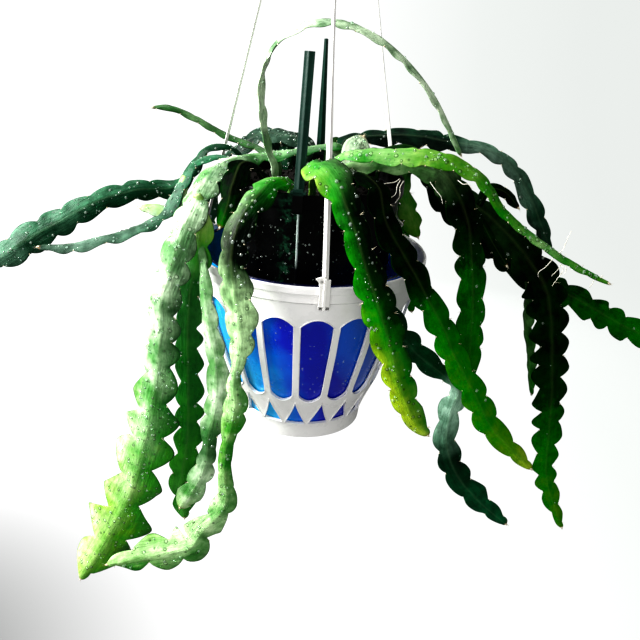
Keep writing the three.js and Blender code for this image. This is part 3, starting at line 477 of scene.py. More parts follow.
        "face": [
            (0, -1, 0.1, 0), (0.12, 0, -0.1, 1), (0.22, 0, -0.3, 1), (0.4, 0.3, -0.9, 0.4),
            (1, 0.1, -0.9, 0.3),
        ],
        "width": [(0, 9), (0.12, 14), (0.2, 16), (0.4, 22), (0.6, 26), (0.9, 28), (1, 14)],
        "cut": [(0, 0.3), (0.55, 0.34), (0.7, 0.42), (1, 0.42)],
        "tone": [(0, 0.1, 0), (0.5, 0.12, 0), (0.72, 0.35, 0), (1, 0.52, 0)],
        "lobes": [(0, 0), (1, 17)],
        "peak": 0.76,
        "drops": 0.03,
    },
    {
        "name": "right_back",
        "slot": "stem_green",
        "path": [
            (16, 46, 38), (17, 47, 61), (26, 58, 80), (33, 67, 80), (55, 71, 83), (89, 72, 85),
            (120, 70, 82), (146, 68, 80), (167, 67, 72), (184, 66, 58), (199, 64, 37),
            (212, 62, 14), (225, 60, -11),
        ],
        "face": [(0, -1, 0.2, 0), (0.12, 0, -0.2, 1), (0.3, 0.1, -0.8, 0.9), (1, 0.2, -1, 0.1)],
        "width": [
            (0, 9), (0.15, 20), (0.45, 22), (0.58, 14), (0.7, 16), (0.86, 21), (0.95, 15), (1, 6),
        ],
        "cut": [(0, 0.36)],
        "tone": [
            (0, 0.1, 0), (0.3, 0.1, 0), (0.48, 0.15, 0.02), (0.6, 0.25, 0.15), (0.72, 0.2, 0.08),
            (0.85, 0.28, 0.06), (1, 0.15, 0),
        ],
        "lobes": [(0, 0), (1, 12)],
        "lean": 0.12,
        "drops": 0.12,
        "skin": "cool",
    },
    {
        "name": "back_right",
        "slot": "stem_green",
        "path": [
            (40, 44, 38), (40, 45, 60), (46, 56, 71), (56, 70, 71), (68, 84, 50), (77, 92, 16),
            (96, 92, -41), (102, 92, -70), (107, 92, -94),
        ],
        "face": [(0, 0, -1, 0), (0.2, 0, 0, 1), (0.4, 0.5, 1, 0.2), (1, 0.3, 1, 0)],
        "width": [(0, 9), (0.2, 16), (0.4, 20), (0.8, 20), (1, 7)],
        "cut": [(0, 0.34)],
        "tone": [(0, 0.15, 0), (1, 0.5, 0)],
        "lobes": [(0, 0), (1, 10)],
        "drops": 0.04,
    },
    {
        "name": "back_left",
        "slot": "stem_green",
        "path": [
            (-8, 50, 38), (-9, 52, 62), (-10, 62, 76), (-28, 66, 79), (-49, 68, 79), (-65, 70, 69),
            (-84, 84, 52), (-98, 90, 4), (-101, 92, -60), (-97, 94, -132),
        ],
        "face": [
            (0, 1, 0, 0), (0.12, 0, -0.6, 1), (0.33, 0, -0.7, 0.8), (0.42, -0.3, 0.2, 1),
            (0.55, -0.7, 0.7, 0.1), (1, -0.7, 0.7, 0),
        ],
        "width": [(0, 9), (0.15, 20), (0.9, 22), (1, 8)],
        "cut": [(0, 0.28)],
        "tone": [
            (0, 0.2, 0.04), (0.15, 0.18, 0.08), (0.3, 0.18, 0.07), (0.45, 0.22, 0.02), (1, 0.3, 0),
        ],
        "lobes": [(0, 0), (1, 13)],
        "drops": 0.8,
        "skin": "cool",
    },
    {
        "name": "back_mid",
        "slot": "stem_green",
        "path": [
            (30, 53, 38), (30, 54, 60), (35, 67, 77), (46, 89, 65), (54, 104, 30), (57, 112, -30),
            (54, 115, -110), (60, 118, -180),
        ],
        "face": [(0, 0, -1, 0), (0.13, 0, 0, 1), (0.3, 0.3, 1, 0.2), (1, 0.2, 1, 0)],
        "width": [(0, 9), (0.15, 18), (0.9, 22), (1, 8)],
        "cut": [(0, 0.28)],
        "tone": [(0, 0.2, 0), (0.6, 0.25, 0), (1, 0.4, 0)],
        "lobes": [(0, 0), (1, 13)],
        "drops": 0.04,
    },
    {
        "name": "crown_pale",
        "slot": "stem_pale",
        "path": [(30, 0, 38), (30, 0, 58), (32, 1, 75), (34, 2, 85), (39, 4, 95)],
        "face": [(0, 0, -1, 0), (1, 0, -1, 0.3)],
        "width": [(0, 8), (0.35, 14), (0.6, 24), (0.88, 23), (1, 12)],
        "cut": [(0, 0.2)],
        "tone": [(0, 0.4, 1), (0.5, 0.4, 3), (1, 0.4, 4)],
        "lobes": [(0, 0), (1, 3)],
        "drops": 2.2,
        "fold": 0.06,
    },
    {
        "name": "rear_centre",
        "slot": "stem_green",
        "path": [
            (-24, 55, 38), (-24, 56, 60), (-29, 80, 78), (-34, 104, 52), (-38, 112, -10),
            (-36, 114, -90), (-42, 115, -160),
        ],
        "face": [(0, 0, -1, 0), (0.15, 0, 0, 1), (0.4, -0.1, 1, 0.1), (1, -0.1, 1, 0)],
        "width": [(0, 9), (0.2, 20), (0.9, 22), (1, 8)],
        "cut": [(0, 0.28)],
        "tone": [(0, 0.25, 0), (0.5, 0.3, 0.02), (1, 0.45, 0)],
        "lobes": [(0, 0), (1, 12)],
        "drops": 0.3,
        "skin": "cool",
    },
    {
        "name": "rear_right",
        "slot": "stem_green",
        "path": [
            (14, 59, 38), (14, 60, 62), (18, 75, 78), (24, 105, 46), (25, 113, -30),
            (20, 115, -120), (26, 117, -220),
        ],
        "face": [(0, 0, -1, 0), (0.13, 0, 0, 1), (0.35, 0.1, 1, 0.1), (1, 0.1, 1, 0)],
        "width": [(0, 9), (0.15, 18), (0.9, 22), (1, 8)],
        "cut": [(0, 0.28)],
        "tone": [(0, 0.25, 0), (0.5, 0.3, 0.05), (1, 0.45, 0)],
        "lobes": [(0, 0), (1, 14)],
        "drops": 0.06,
    },
    {
        "from": "right_far",
        "path": [(134, 4, 44), (146, -4, 26), (157, -8, 10), (169, -10, -5)],
        "face": [(0, 0.2, -1, 0.2), (1, 0.2, -1, 0.2)],
        "width": [(0, 7), (0.4, 10), (0.8, 10), (1, 4)],
        "cut": [(0, 0.2)],
        "tone": [(0, 0.1, 0), (1, 0.12, 0)],
        "lobes": [(0, 0), (1, 3)],
        "drops": 0.02,
    },
    {
        "from": "right_far",
        "path": [(140, 4, 43), (147, 8, 56), (160, 10, 55), (176, 10, 41)],
        "face": [(0, 0.2, -1, 0.4), (1, 0.2, -1, 0.4)],
        "width": [(0, 7), (0.4, 10), (0.8, 10), (1, 4)],
        "cut": [(0, 0.2)],
        "tone": [(0, 0.1, 0), (1, 0.12, 0)],
        "lobes": [(0, 0), (1, 3)],
        "drops": 0.02,
    },
    {
        "from": "right_far",
        "path": [(182, 1, 5), (196, 12, -28), (203, 14, -73), (209, 14, -93), (218, 14, -139)],
        "face": [(0, -0.9, -0.4, 0), (1, -0.9, -0.4, 0)],
        "width": [(0, 7), (0.3, 16), (0.8, 16), (1, 5)],
        "cut": [(0, 0.3)],
        "tone": [(0, 0.12, 0), (0.5, 0.4, 0.1), (1, 0.55, 0.15)],
        "lobes": [(0, 0), (1, 7)],
        "drops": 0.02,
    },
    {
        "from": "left_front",
        "path": [
            (-88, -61, 55), (-82, -62, 37), (-84, -67, 13), (-91, -69, -20), (-93, -70, -54),
            (-93, -70, -90), (-93, -70, -128), (-94, -70, -157), (-99, -70, -198), (-97, -70, -239),
        ],
        "face": [(0, -0.3, -1, 0.1), (1, 0, -1, 0.1)],
        "width": [(0, 7), (0.15, 21), (0.5, 25), (0.85, 27), (0.95, 22), (1, 10)],
        "cut": [(0, 0.46)],
        "tone": [
            (0, 0.8, 0.3), (0.1, 0.75, 0.08), (0.25, 0.3, 0.03), (0.45, 0.25, 0), (0.65, 0.35, 0),
            (0.8, 0.45, 0), (1, 0.5, 0.05),
        ],
        "lobes": [(0, 0), (1, 13)],
        "drops": 0.1,
        "fold": 0.2,
    },
    {
        "from": "left_front",
        "path": [
            (-84, -66, 16), (-80, -78, -1), (-77, -84, -22), (-74, -86, -42), (-69, -86, -72),
            (-68, -85, -110), (-74, -83, -144), (-77, -81, -172), (-88, -79, -201),
            (-100, -78, -222),
        ],
        "face": [(0, -0.5, -1, 0.1), (1, 0, -1, 0.1)],
        "width": [
            (0, 6), (0.2, 15), (0.45, 21), (0.62, 22), (0.72, 13), (0.8, 20), (0.94, 23), (1, 14),
        ],
        "cut": [(0, 0.32)],
        "tone": [
            (0, 0.45, 0.4), (0.3, 0.5, 0.65), (0.6, 0.5, 0.6), (0.68, 0.3, 0.2), (0.74, 0.2, 0.05),
            (0.82, 0.4, 0.5), (0.92, 0.55, 0.5), (1, 0.8, 0.4),
        ],
        "lobes": [(0, 0), (1, 10)],
        "drops": 0.2,
        "fold": 0.22,
    },
    {
        "from": "left_low",
        "path": [(-104, -11, 56), (-115, -17, 28), (-128, -17, 29), (-141, -17, 29)],
        "face": [(0, 0, -0.6, 1), (1, 0, -0.6, 1)],
        "width": [(0, 7), (0.4, 14), (0.8, 14), (1, 6)],
        "cut": [(0, 0.2)],
        "tone": [(0, 0.95, 0.3), (1, 0.98, 0.4)],
        "lobes": [(0, 0), (1, 3)],
        "drops": 0.08,
    },
    {
        "from": "right_out",
        "path": [(86, 28, 75), (79, 28, 60), (79, 26, 47), (83, 26, 33), (89, 27, 19), (96, 28, 4)],
        "face": [(0, 0.2, -1, 0.4), (1, 0.2, -1, 0.1)],
        "width": [(0, 7), (0.2, 12), (0.4, 15), (0.62, 20), (0.84, 20), (1, 8)],
        "cut": [(0, 0.42)],
        "tone": [(0, 0.2, 0), (0.4, 0.6, 0.1), (1, 0.75, 0.1)],
        "lobes": [(0, 0), (0.25, 1), (1, 4)],
        "peak": 0.72,
        "drops": 0.02,
        "fold": 0.35,
    },
    {
        "name": "crown_left",
        "slot": "stem_green",
        "path": [
            (-38, -18, 38), (-39, -19, 60), (-46, -30, 72), (-56, -46, 76), (-61, -58, 62),
            (-64, -64, 47), (-69, -70, 32),
        ],
        "face": [(0, -0.3, 0.9, 0), (0.25, 0, -0.2, 1), (0.5, -0.2, -0.7, 0.8), (1, -0.3, -1, 0.3)],
        "width": [(0, 9), (0.25, 18), (0.5, 24), (0.85, 20), (1, 7)],
        "cut": [(0, 0.34)],
        "tone": [(0, 0.02, 0), (0.6, 0.03, 0), (0.8, 0.12, 0), (1, 0.4, 0)],
        "lobes": [(0, 0), (1, 5)],
        "drops": 0.04,
    },
]

# Roots in millimetres from the middle of the rim
ROOTS = [
    [
        (191.5, -58, 21.5), (188.5, -60, 17.5), (184.5, -62, 13.5), (181, -63, 11), (180, -63, 8.5),
        (181.5, -62, 5.5),
    ],
    [(198.5, -58, 16), (195.5, -60, 11.5), (191.5, -61, 7)],
    [(199.5, -58, 15.5), (200, -60, 11.5), (196.5, -61, 5), (193.5, -61, -1.5)],
    [(202, -58, 15), (202.5, -60, 12.5), (201, -61, 9)],
    [(194.5, -58, 24.5), (197.5, -57, 27.5), (199.5, -56, 33), (200.5, -56, 38.5), (202, -56, 43)],
    [(226.5, -58, 4), (225.5, -59, 1.5), (223.5, -60, -1)],
    [(230.5, -58, 5), (231.5, -58, 7), (232.5, -58, 9)],
    [(65.5, -52, 74.5), (61, -60, 73.5), (52.5, -66, 73), (47.5, -70, 70.5), (43, -71, 70)],
    [(66, -54, 74), (63, -62, 71), (62, -66, 66), (57.5, -70, 63), (56.5, -72, 59.5)],
    [(68.5, -54, 73.5), (65.5, -60, 70), (65.5, -64, 64), (62, -68, 59.5)],
    [(108.5, -58, 77.5), (112.5, -61, 75.5), (116, -62, 76), (119.5, -62, 72.5)],
    [(89, -50, 73), (93.5, -54, 68), (97.5, -56, 64), (99.5, -58, 58.5)],
]


def at_rim(x, y, z):
    """A point given in millimetres from the middle of the planter's rim."""
    return Vector((x * MM, y * MM, z * MM + RIM_Z))


def at_turn(degrees, radius, height):
    """A point at a turn from the front towards +X, a radius and a height, in millimetres."""
    angle = math.radians(degrees)
    return at_rim(radius * math.sin(angle), -radius * math.cos(angle), height)


def clamp(value, low=0.0, high=1.0):
    return max(low, min(high, value))


def keyed(rows, key):
    """Straight-line reading of rows of (key, value, ...), held at both ends."""
    if key <= rows[0][0]:
        return rows[0][1:]
    for low, high in zip(rows, rows[1:]):
        if key <= high[0]:
            t = (key - low[0]) / (high[0] - low[0])
            return tuple(a + (b - a) * t for a, b in zip(low[1:], high[1:]))
    return rows[-1][1:]


def body_radius(height):
    """Outside radius of the planter's wall, smooth between the sizes in BODY."""
    rows = [Vector((r, h, 0)) for h, r in BODY]
    row = [2 * rows[0] - rows[1], *rows, 2 * rows[-1] - rows[-2]]
    for a, b, c, d in zip(row, row[1:], row[2:], row[3:]):
        if height <= c.y or d == row[-1]:
            t = clamp((height - b.y) / (c.y - b.y))
            slope_in, slope_out = (c.x - a.x) / 2, (d.x - b.x) / 2
            ease = t * t * (3 - 2 * t)
            bend = slope_in * t * (1 - t) ** 2 - slope_out * t * t * (1 - t)
            return b.x + (c.x - b.x) * ease + bend


def smooth_line(points, steps):
    """The centripetal Catmull-Rom line through points, as closely spaced places."""
    row = [2 * points[0] - points[1], *points, 2 * points[-1] - points[-2]]
    places = []
    for a, b, c, d in zip(row, row[1:], row[2:], row[3:]):
        g1, g2, g3 = (math.sqrt((q - p).length) for p, q in ((a, b), (b, c), (c, d)))
        start = ((b - a) / g1 - (c - a) / (g1 + g2) + (c - b) / g2) * g2
        end = ((c - b) / g2 - (d - b) / (g2 + g3) + (d - c) / g3) * g2
        for k in range(steps):
            t = k / steps
            u = t * t
            v = u * t
            places.append(
                b * (2 * v - 3 * u + 1) + start * (v - 2 * u + t) + c * (3 * u - 2 * v) + end * (v - u)
            )
    places.append(points[-1].copy())
    return places


class Line:
    """A smooth line through points, read by the fraction of its length."""

    def __init__(self, points):
        self.places = smooth_line(points, 16)
        self.reach = [0.0]
        for a, b in zip(self.places, self.places[1:]):
            self.reach.append(self.reach[-1] + (b - a).length)
        self.length = self.reach[-1]

    def place(self, distance):
        distance = clamp(distance, 0, self.length)
        i = clamp(bisect.bisect_right(self.reach, distance), 1, len(self.reach) - 1)
        t = (distance - self.reach[i - 1]) / (self.reach[i] - self.reach[i - 1])
        return self.places[i - 1].lerp(self.places[i], t)

    def at(self, fraction):
        """The point at that fraction of the length, and the line's direction there."""
        distance = fraction * self.length
        span = 1.5 * MM
        ahead = self.place(distance + span) - self.place(distance - span)
        return self.place(distance), ahead.normalized()


def mesh_of(name, bm):
    """A mesh of what bm holds, which frees bm."""
    mesh = bpy.data.meshes.new(name)
    bm.to_mesh(mesh)
    bm.free()
    return mesh


def put_in_scene(name, data):
    thing = bpy.data.objects.new(name, data)
    bpy.context.scene.collection.objects.link(thing)
    return thing


def new_piece(name, bm, finish):
    """Makes a smooth mesh piece of what bm holds, which rides with the whole object."""
    mesh = mesh_of(name, bm)
    mesh.polygons.foreach_set("use_smooth", [True] * len(mesh.polygons))
    mesh.materials.append(finish)
    piece = put_in_scene(name, mesh)
    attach(piece, "root")
    return piece


def soften(piece, width, segments=3, angle=32):
    """Rounds a piece's sharp edges."""
    bevel = piece.modifiers.new("soft edges", "BEVEL")
    bevel.width = width * MM
    bevel.segments = segments
    bevel.limit_method = "ANGLE"
    bevel.angle_limit = math.radians(angle)
    bevel.harden_normals = True
    return piece


def tube(sides, steps):
    """A closed upright tube, 1 high and of radius 1, cut into steps."""
    bm = bmesh.new()
    bmesh.ops.create_cone(bm, cap_ends=True, segments=sides, radius1=1, radius2=1, depth=1)
    along = [e for e in bm.edges if abs(e.verts[0].co.z - e.verts[1].co.z) > 0.5]
    bmesh.ops.subdivide_edges(bm, edges=along, cuts=steps - 1, use_grid_fill=True)
    return bm


def sleeve(sides, steps, place):
    """A tube whose corners go where place(fraction, cosine, sine) says."""
    bm = tube(sides, steps)
    for v in bm.verts:
        v.co = place(clamp(v.co.z + 0.5), v.co.x, v.co.y)
    return bm


def gather(bm, part, turn=None):
    """Adds the mesh part holds to bm, turned if asked, and frees part."""
    if turn is not None:
        bmesh.ops.transform(part, matrix=turn, verts=part.verts)
    mesh = mesh_of("gathered", part)
    bm.from_mesh(mesh)
    bpy.data.meshes.remove(mesh)


def weld(bm, reach):
    """Merges corners that meet and turns every face outwards."""
    bmesh.ops.remove_doubles(bm, verts=bm.verts, dist=reach)
    bmesh.ops.recalc_face_normals(bm, faces=bm.faces)


def turned(profile, sides=144, closed=False):
    """A bmesh spun round the pots' axis from a profile of (radius, height) in millimetres."""
    bm = bmesh.new()
    corners = [bm.verts.new(at_rim(radius, 0, height)) for radius, height in profile]
    for a, b in zip(corners, corners[1:]):
        bm.edges.new((a, b))
    if closed:
        bm.edges.new((corners[-1], corners[0]))
    bmesh.ops.spin(
        bm,
        geom=bm.verts[:] + bm.edges[:],
        cent=(0, 0, RIM_Z),
        axis=(0, 0, 1),
        angle=2 * math.pi,
        steps=sides,
        use_merge=True,
    )
    weld(bm, 1e-6)
    return bm


def block(x0, x1, y0, y1, z0, z1):
    """A box between two corners, in millimetres from the middle of the rim."""
    bm = bmesh.new()
    bmesh.ops.create_cube(bm, size=1)
    low, high = at_rim(x0, y0, z0), at_rim(x1, y1, z1)
    bmesh.ops.scale(bm, vec=high - low, verts=bm.verts)
    bmesh.ops.translate(bm, vec=(low + high) / 2, verts=bm.verts)
    return bm


def about_axis(degrees):
    return Matrix.Rotation(math.radians(degrees), 4, "Z")


class Finish:
    """A material's node graph, with short calls for what its recipes repeat."""

    def __init__(self, name):
        self.material = bpy.data.materials.new(name)
        self.material.use_nodes = True
        self.nodes = self.material.node_tree.nodes
        self.links = self.material.node_tree.links
        self.shader = self.nodes["Principled BSDF"]
        self.object = self.nodes.new("ShaderNodeTexCoord").outputs["Object"]

    def set(self, **sockets):
        for name, value in sockets.items():
            self.shader.inputs[name.replace("_", " ")].default_value = value

    def feed(self, socket, value):
        self.links.new(value, self.shader.inputs[socket])

    def noise(self, scale, detail=3, rough=0.5, place=None):
        node = self.nodes.new("ShaderNodeTexNoise")
        self.links.new(place or self.object, node.inputs["Vector"])
        node.inputs["Scale"].default_value = scale
        node.inputs["Detail"].default_value = detail
        node.inputs["Roughness"].default_value = rough
        return node.outputs["Fac"]

    def dew(self, scale, wet):
        """Small round dots strewn where it is wet, as high as they are bright, and their dark rings."""
        node = self.nodes.new("ShaderNodeTexVoronoi")
        self.links.new(self.object, node.inputs["Vector"])
        node.inputs["Scale"].default_value = scale
        pick = self.nodes.new("ShaderNodeSeparateColor")
        self.links.new(node.outputs["Color"], pick.inputs["Color"])
        radius = self.math("MULTIPLY", self.spread(pick.outputs[0], 0.35, 1.0, 0, 0.36), wet)
        inside = self.math("SUBTRACT", radius, node.outputs["Distance"])
        # The dot is a drop's painted highlight and the ring its painted dark edge.
        dot = self.spread(inside, 0.0, 0.1)
        ring = self.math("MULTIPLY", self.spread(inside, -0.12, 0.0), self.spread(inside, 0.12, 0.01))
        return dot, self.math("MULTIPLY", ring, self.spread(radius, 0.05, 0.15))

    def place(self, name):
        """A place attribute, for a texture that follows the stem instead of the room."""
        node = self.nodes.new("ShaderNodeAttribute")
        node.attribute_name = name
        return node.outputs["Vector"]

    def attribute(self, name, part):
        """One channel of a colour attribute: 0, 1 or 2."""
        node = self.nodes.new("ShaderNodeAttribute")
        node.attribute_name = name
        split = self.nodes.new("ShaderNodeSeparateColor")
        self.links.new(node.outputs["Color"], split.inputs["Color"])
        return split.outputs[part]

    def axis(self, part):
        split = self.nodes.new("ShaderNodeSeparateXYZ")
        self.links.new(self.object, split.inputs["Vector"])
        return split.outputs[part]

    def far_from(self, point):
        node = self.nodes.new("ShaderNodeVectorMath")
        node.operation = "DISTANCE"
        self.links.new(self.object, node.inputs[0])
        node.inputs[1].default_value = point
        return node.outputs["Value"]

    def math(self, kind, a, b=0.0, clamp_it=False):
        node = self.nodes.new("ShaderNodeMath")
        node.operation = kind
        node.use_clamp = clamp_it
        for socket, value in zip(node.inputs, (a, b)):
            self.plug(socket, value)
        return node.outputs["Value"]

    def sway(self, base, pattern, reach):
        """The base value, moved up and down by a pattern."""
        swing = self.math("MULTIPLY", self.math("SUBTRACT", pattern, 0.5), reach)
        return self.math("ADD", base, swing)

    def spread(self, value, low, high, to_low=0.0, to_high=1.0):
        node = self.nodes.new("ShaderNodeMapRange")
        self.links.new(value, node.inputs["Value"])
        for socket, number in zip(node.inputs[1:5], (low, high, to_low, to_high)):
            socket.default_value = number
        return node.outputs["Result"]

    def ramp(self, value, stops):
        node = self.nodes.new("ShaderNodeValToRGB")
        self.links.new(value, node.inputs["Fac"])
        while len(node.color_ramp.elements) < len(stops):
            node.color_ramp.elements.new(1.0)
        for element, (position, colour) in zip(node.color_ramp.elements, stops):
            element.position = position
            element.color = (*colour, 1)
        return node.outputs["Color"]

    def mix(self, factor, a, b):
        node = self.nodes.new("ShaderNodeMix")
        node.data_type = "RGBA"
        for socket, value in zip((node.inputs[0], node.inputs[6], node.inputs[7]), (factor, a, b)):
            self.plug(socket, value)
        return node.outputs[2]

    def plug(self, socket, value):
        if isinstance(value, tuple):
            socket.default_value = (*value, 1)
        elif isinstance(value, (int, float)):
            socket.default_value = value
        else:
            self.links.new(value, socket)

    def bump(self, height, depth, strength=1.0, under=None):
        """Relief of that depth in millimetres, laid over an earlier one if given."""
        node = self.nodes.new("ShaderNodeBump")
        self.links.new(height, node.inputs["Height"])
        node.inputs["Distance"].default_value = depth * MM
        node.inputs["Strength"].default_value = strength
        if under is not None:
            self.links.new(under, node.inputs["Normal"])
        return node.outputs["Normal"]


def stem_finish(name, greens, pale, rough, gleam):
    """Waxy wet skin, deep green to yellow-green by its tone, with painted sheen and shade, a lighter midrib
    and thin margins.
    """
    leaf, young = greens[2], greens[4]
    f = Finish(name)
    across = f.attribute("form", 0)
    age = f.attribute("tone", 0)
    mottle = f.noise(110, 5, 0.65)
    wrinkles = f.noise(1, 4, 0.6, f.place("grain"))
    patches = f.noise(34, 3, 0.55)
    shade = f.sway(age, mottle, 0.4)
    shade = f.sway(shade, patches, 0.35)
    shade = f.sway(shade, wrinkles, 0.2)
    green = f.ramp(shade, list(zip(GREEN_STOPS, greens)))
    # Painted wet sheen: the skin turns to its pale colour by the tone's paleness, broken into patches and
    # streaks.
    streaks = f.spread(wrinkles, 0.3, 0.6, 0.7, 1.15)
    sheen_breaks = f.math("MULTIPLY", f.spread(patches, 0.38, 0.6, 0.25, 1.5), streaks)
    sheen_breaks = f.math("MULTIPLY", sheen_breaks, f.spread(mottle, 0.36, 0.6, 0.6, 1.2))
    painted_sheen = f.math("MULTIPLY", f.attribute("tone", 1), sheen_breaks, True)
    skin = f.mix(painted_sheen, green, pale)
    # Painted drops: each dot lightens the skin as a painted highlight, each ring darkens it as a painted dark
    # edge.
    dot, ring = f.dew(210, f.attribute("form", 1))
    skin = f.mix(f.math("MULTIPLY", ring, 0.7), skin, tuple(0.12 * a for a in leaf))
    skin = f.mix(f.math("MULTIPLY", dot, 0.3), skin, pale)
    rib = f.spread(across, 0.16, 0.0, 0, 0.05)
    skin = f.mix(rib, skin, tuple(0.5 * a + 0.5 * b for a, b in zip(young, pale)))
    rim = f.spread(across, 0.94, 1.0, 0, 0.65)
    skin = f.mix(rim, skin, tuple(0.25 * a for a in leaf))
    skin = f.mix(f.attribute("tone", 2), skin, (0.2, 0.09, 0.03))
    f.feed("Base Color", skin)
    f.feed("Roughness", f.spread(mottle, 0.35, 0.65, rough - 0.12, rough + 0.16))
    relief = f.bump(wrinkles, 1.6, 0.9, f.bump(mottle, 0.8, 0.8))
    f.feed("Normal", f.bump(dot, 0.5, 1.0, relief))
    f.set(Coat_Weight=gleam / 2, Coat_Roughness=0.1, Specular_IOR_Level=gleam)
    return f.material


def plastic_finish(name, colour, stain, rough, coat=0.3, gleam=0.5, relief=0.08, painted_shade_below=None):
    """Moulded plastic with faint clouds and water marks, and painted shade, black, under a height if one is
    given.
    """
    f = Finish(name)
    clouds = f.spread(f.noise(14, 4), 0.45, 0.75, 0, 0.35)
    base = f.mix(clouds, colour, stain)
    marks = f.spread(f.noise(60, 5, 0.7), 0.55, 0.7, 0, 0.3)
    skin = f.mix(marks, base, stain)
    # Painted shade: black below the given height.
    if painted_shade_below is not None:
        skin = f.mix(f.spread(f.axis(2), painted_shade_below + MM, painted_shade_below - MM), skin, (0.001, 0.0015, 0.0012))
    f.feed("Base Color", skin)
    f.feed("Roughness", f.spread(f.noise(90, 4), 0.3, 0.7, rough - 0.06, rough + 0.1))
    f.feed("Normal", f.bump(f.noise(380, 2), relief, 0.5))
    f.set(Coat_Weight=coat, Coat_Roughness=0.1, Specular_IOR_Level=gleam)
    return f.material


def liner_finish():
    """Blue plastic painted with the light through it: cyan on the left and low down, deep blue where shaded.
    """
    f = Finish("liner blue")
    # Painted light: cyan on the left and lower down, where daylight comes through, deep blue in the middle,
    # where the nursery pot shades it, and lighter blue again on the right.
    sideways = f.spread(f.axis(0), -0.085, 0.085, 0, 1)
    value = f.sway(sideways, f.noise(26, 3), 0.35)
    down = f.spread(f.axis(2), RIM_Z - 0.13, RIM_Z - 0.03, -0.13, 0.12)
    value = f.math("ADD", value, down)
    colour = f.ramp(
        value,
        [
            (0.22, (0.01, 0.45, 0.9)),
            (0.36, (0.001, 0.14, 0.72)),
            (0.48, (0.001, 0.012, 0.5)),
            (0.6, (0.001, 0.008, 0.42)),
            (0.75, (0.001, 0.1, 0.6)),
            (0.95, (0.001, 0.1, 0.5)),
        ],
    )
    lip = f.spread(f.axis(2), RIM_Z - 0.0035, RIM_Z - 0.002)
    f.feed("Base Color", f.mix(lip, colour, (0.001, 0.002, 0.03)))
    f.feed("Roughness", f.spread(f.noise(120, 4), 0.35, 0.7, 0.14, 0.32))
    f.feed("Normal", f.bump(f.noise(60, 3), 0.5, 0.5))
    f.set(Coat_Weight=0.5, Coat_Roughness=0.05)
    return f.material


def nursery_finish():
    """Thin black plastic, wet and a little dusty, with greenish streaks and a patch painted as stem
    reflections.
    """
    f = Finish("nursery black")
    # Painted reflections: greenish streaks, and a greener patch beside the seam, where the green stems would
    # show.
    streaks = f.spread(f.noise(55, 5, 0.7), 0.6, 0.72, 0, 0.5)
    damp = f.math("MULTIPLY", f.spread(f.axis(0), -0.027, -0.019), f.spread(f.axis(0), -0.006, -0.012))
    damp = f.math("MULTIPLY", damp, f.spread(f.noise(95, 5, 0.75), 0.48, 0.62))
    base = f.mix(streaks, WET_BLACK, (0.008, 0.022, 0.013))
    f.feed("Base Color", f.mix(damp, base, (0.012, 0.06, 0.03)))
    f.feed("Roughness", f.spread(f.noise(80, 4), 0.35, 0.65, 0.22, 0.5))
    relief = f.bump(f.noise(40, 4), 0.6, 0.6)
    f.feed("Normal", f.bump(f.noise(300, 3), 0.15, 0.5, relief))
    f.set(Specular_IOR_Level=0.15)
    return f.material


def seam_drip_and_highlight_finish():
    """The nursery pot's seam with a broken pale line, partly dried water and partly a painted highlight."""
    f = Finish("nursery seam")
    upper = f.spread(f.axis(2), RIM_Z + 0.002, RIM_Z + 0.012)
    # The pale line up the seam's upper part is partly dried water, partly a painted highlight where it
    # catches the light.
    broken = f.math("MULTIPLY", f.spread(f.noise(75, 4, 0.7), 0.36, 0.46), upper)
    f.feed("Base Color", f.mix(broken, WET_BLACK, (0.42, 0.5, 0.46)))
    f.feed("Normal", f.bump(f.noise(400, 3), 0.2))
    f.set(Roughness=0.35, Specular_IOR_Level=0.3)
    return f.material


def soil_finish():
    f = Finish("soil")
    grain = f.noise(260, 6, 0.7)
    f.feed("Base Color", f.ramp(grain, [(0.3, (0.002, 0.0015, 0.001)), (0.75, (0.022, 0.014, 0.008))]))
    f.feed("Normal", f.bump(grain, 2.0))
    f.set(Roughness=0.85)
    return f.material


def water_finish():
    f = Finish("water")
    f.feed("Roughness", f.spread(f.noise(500, 1), 0.3, 0.7, 0.0, 0.04))
    f.set(Base_Color=(0.86, 1, 0.88, 1), Transmission_Weight=0.82, IOR=1.33)
    return f.material


def pith_finish(name, light, dark):
    """Cream with darker spots, for bristles, roots and buds."""
    f = Finish(name)
    f.feed("Base Color", f.ramp(f.noise(700, 3), [(0.35, dark), (0.6, light)]))
    f.feed("Normal", f.bump(f.noise(900, 2), 0.05))
    f.set(Roughness=0.55)
    return f.material


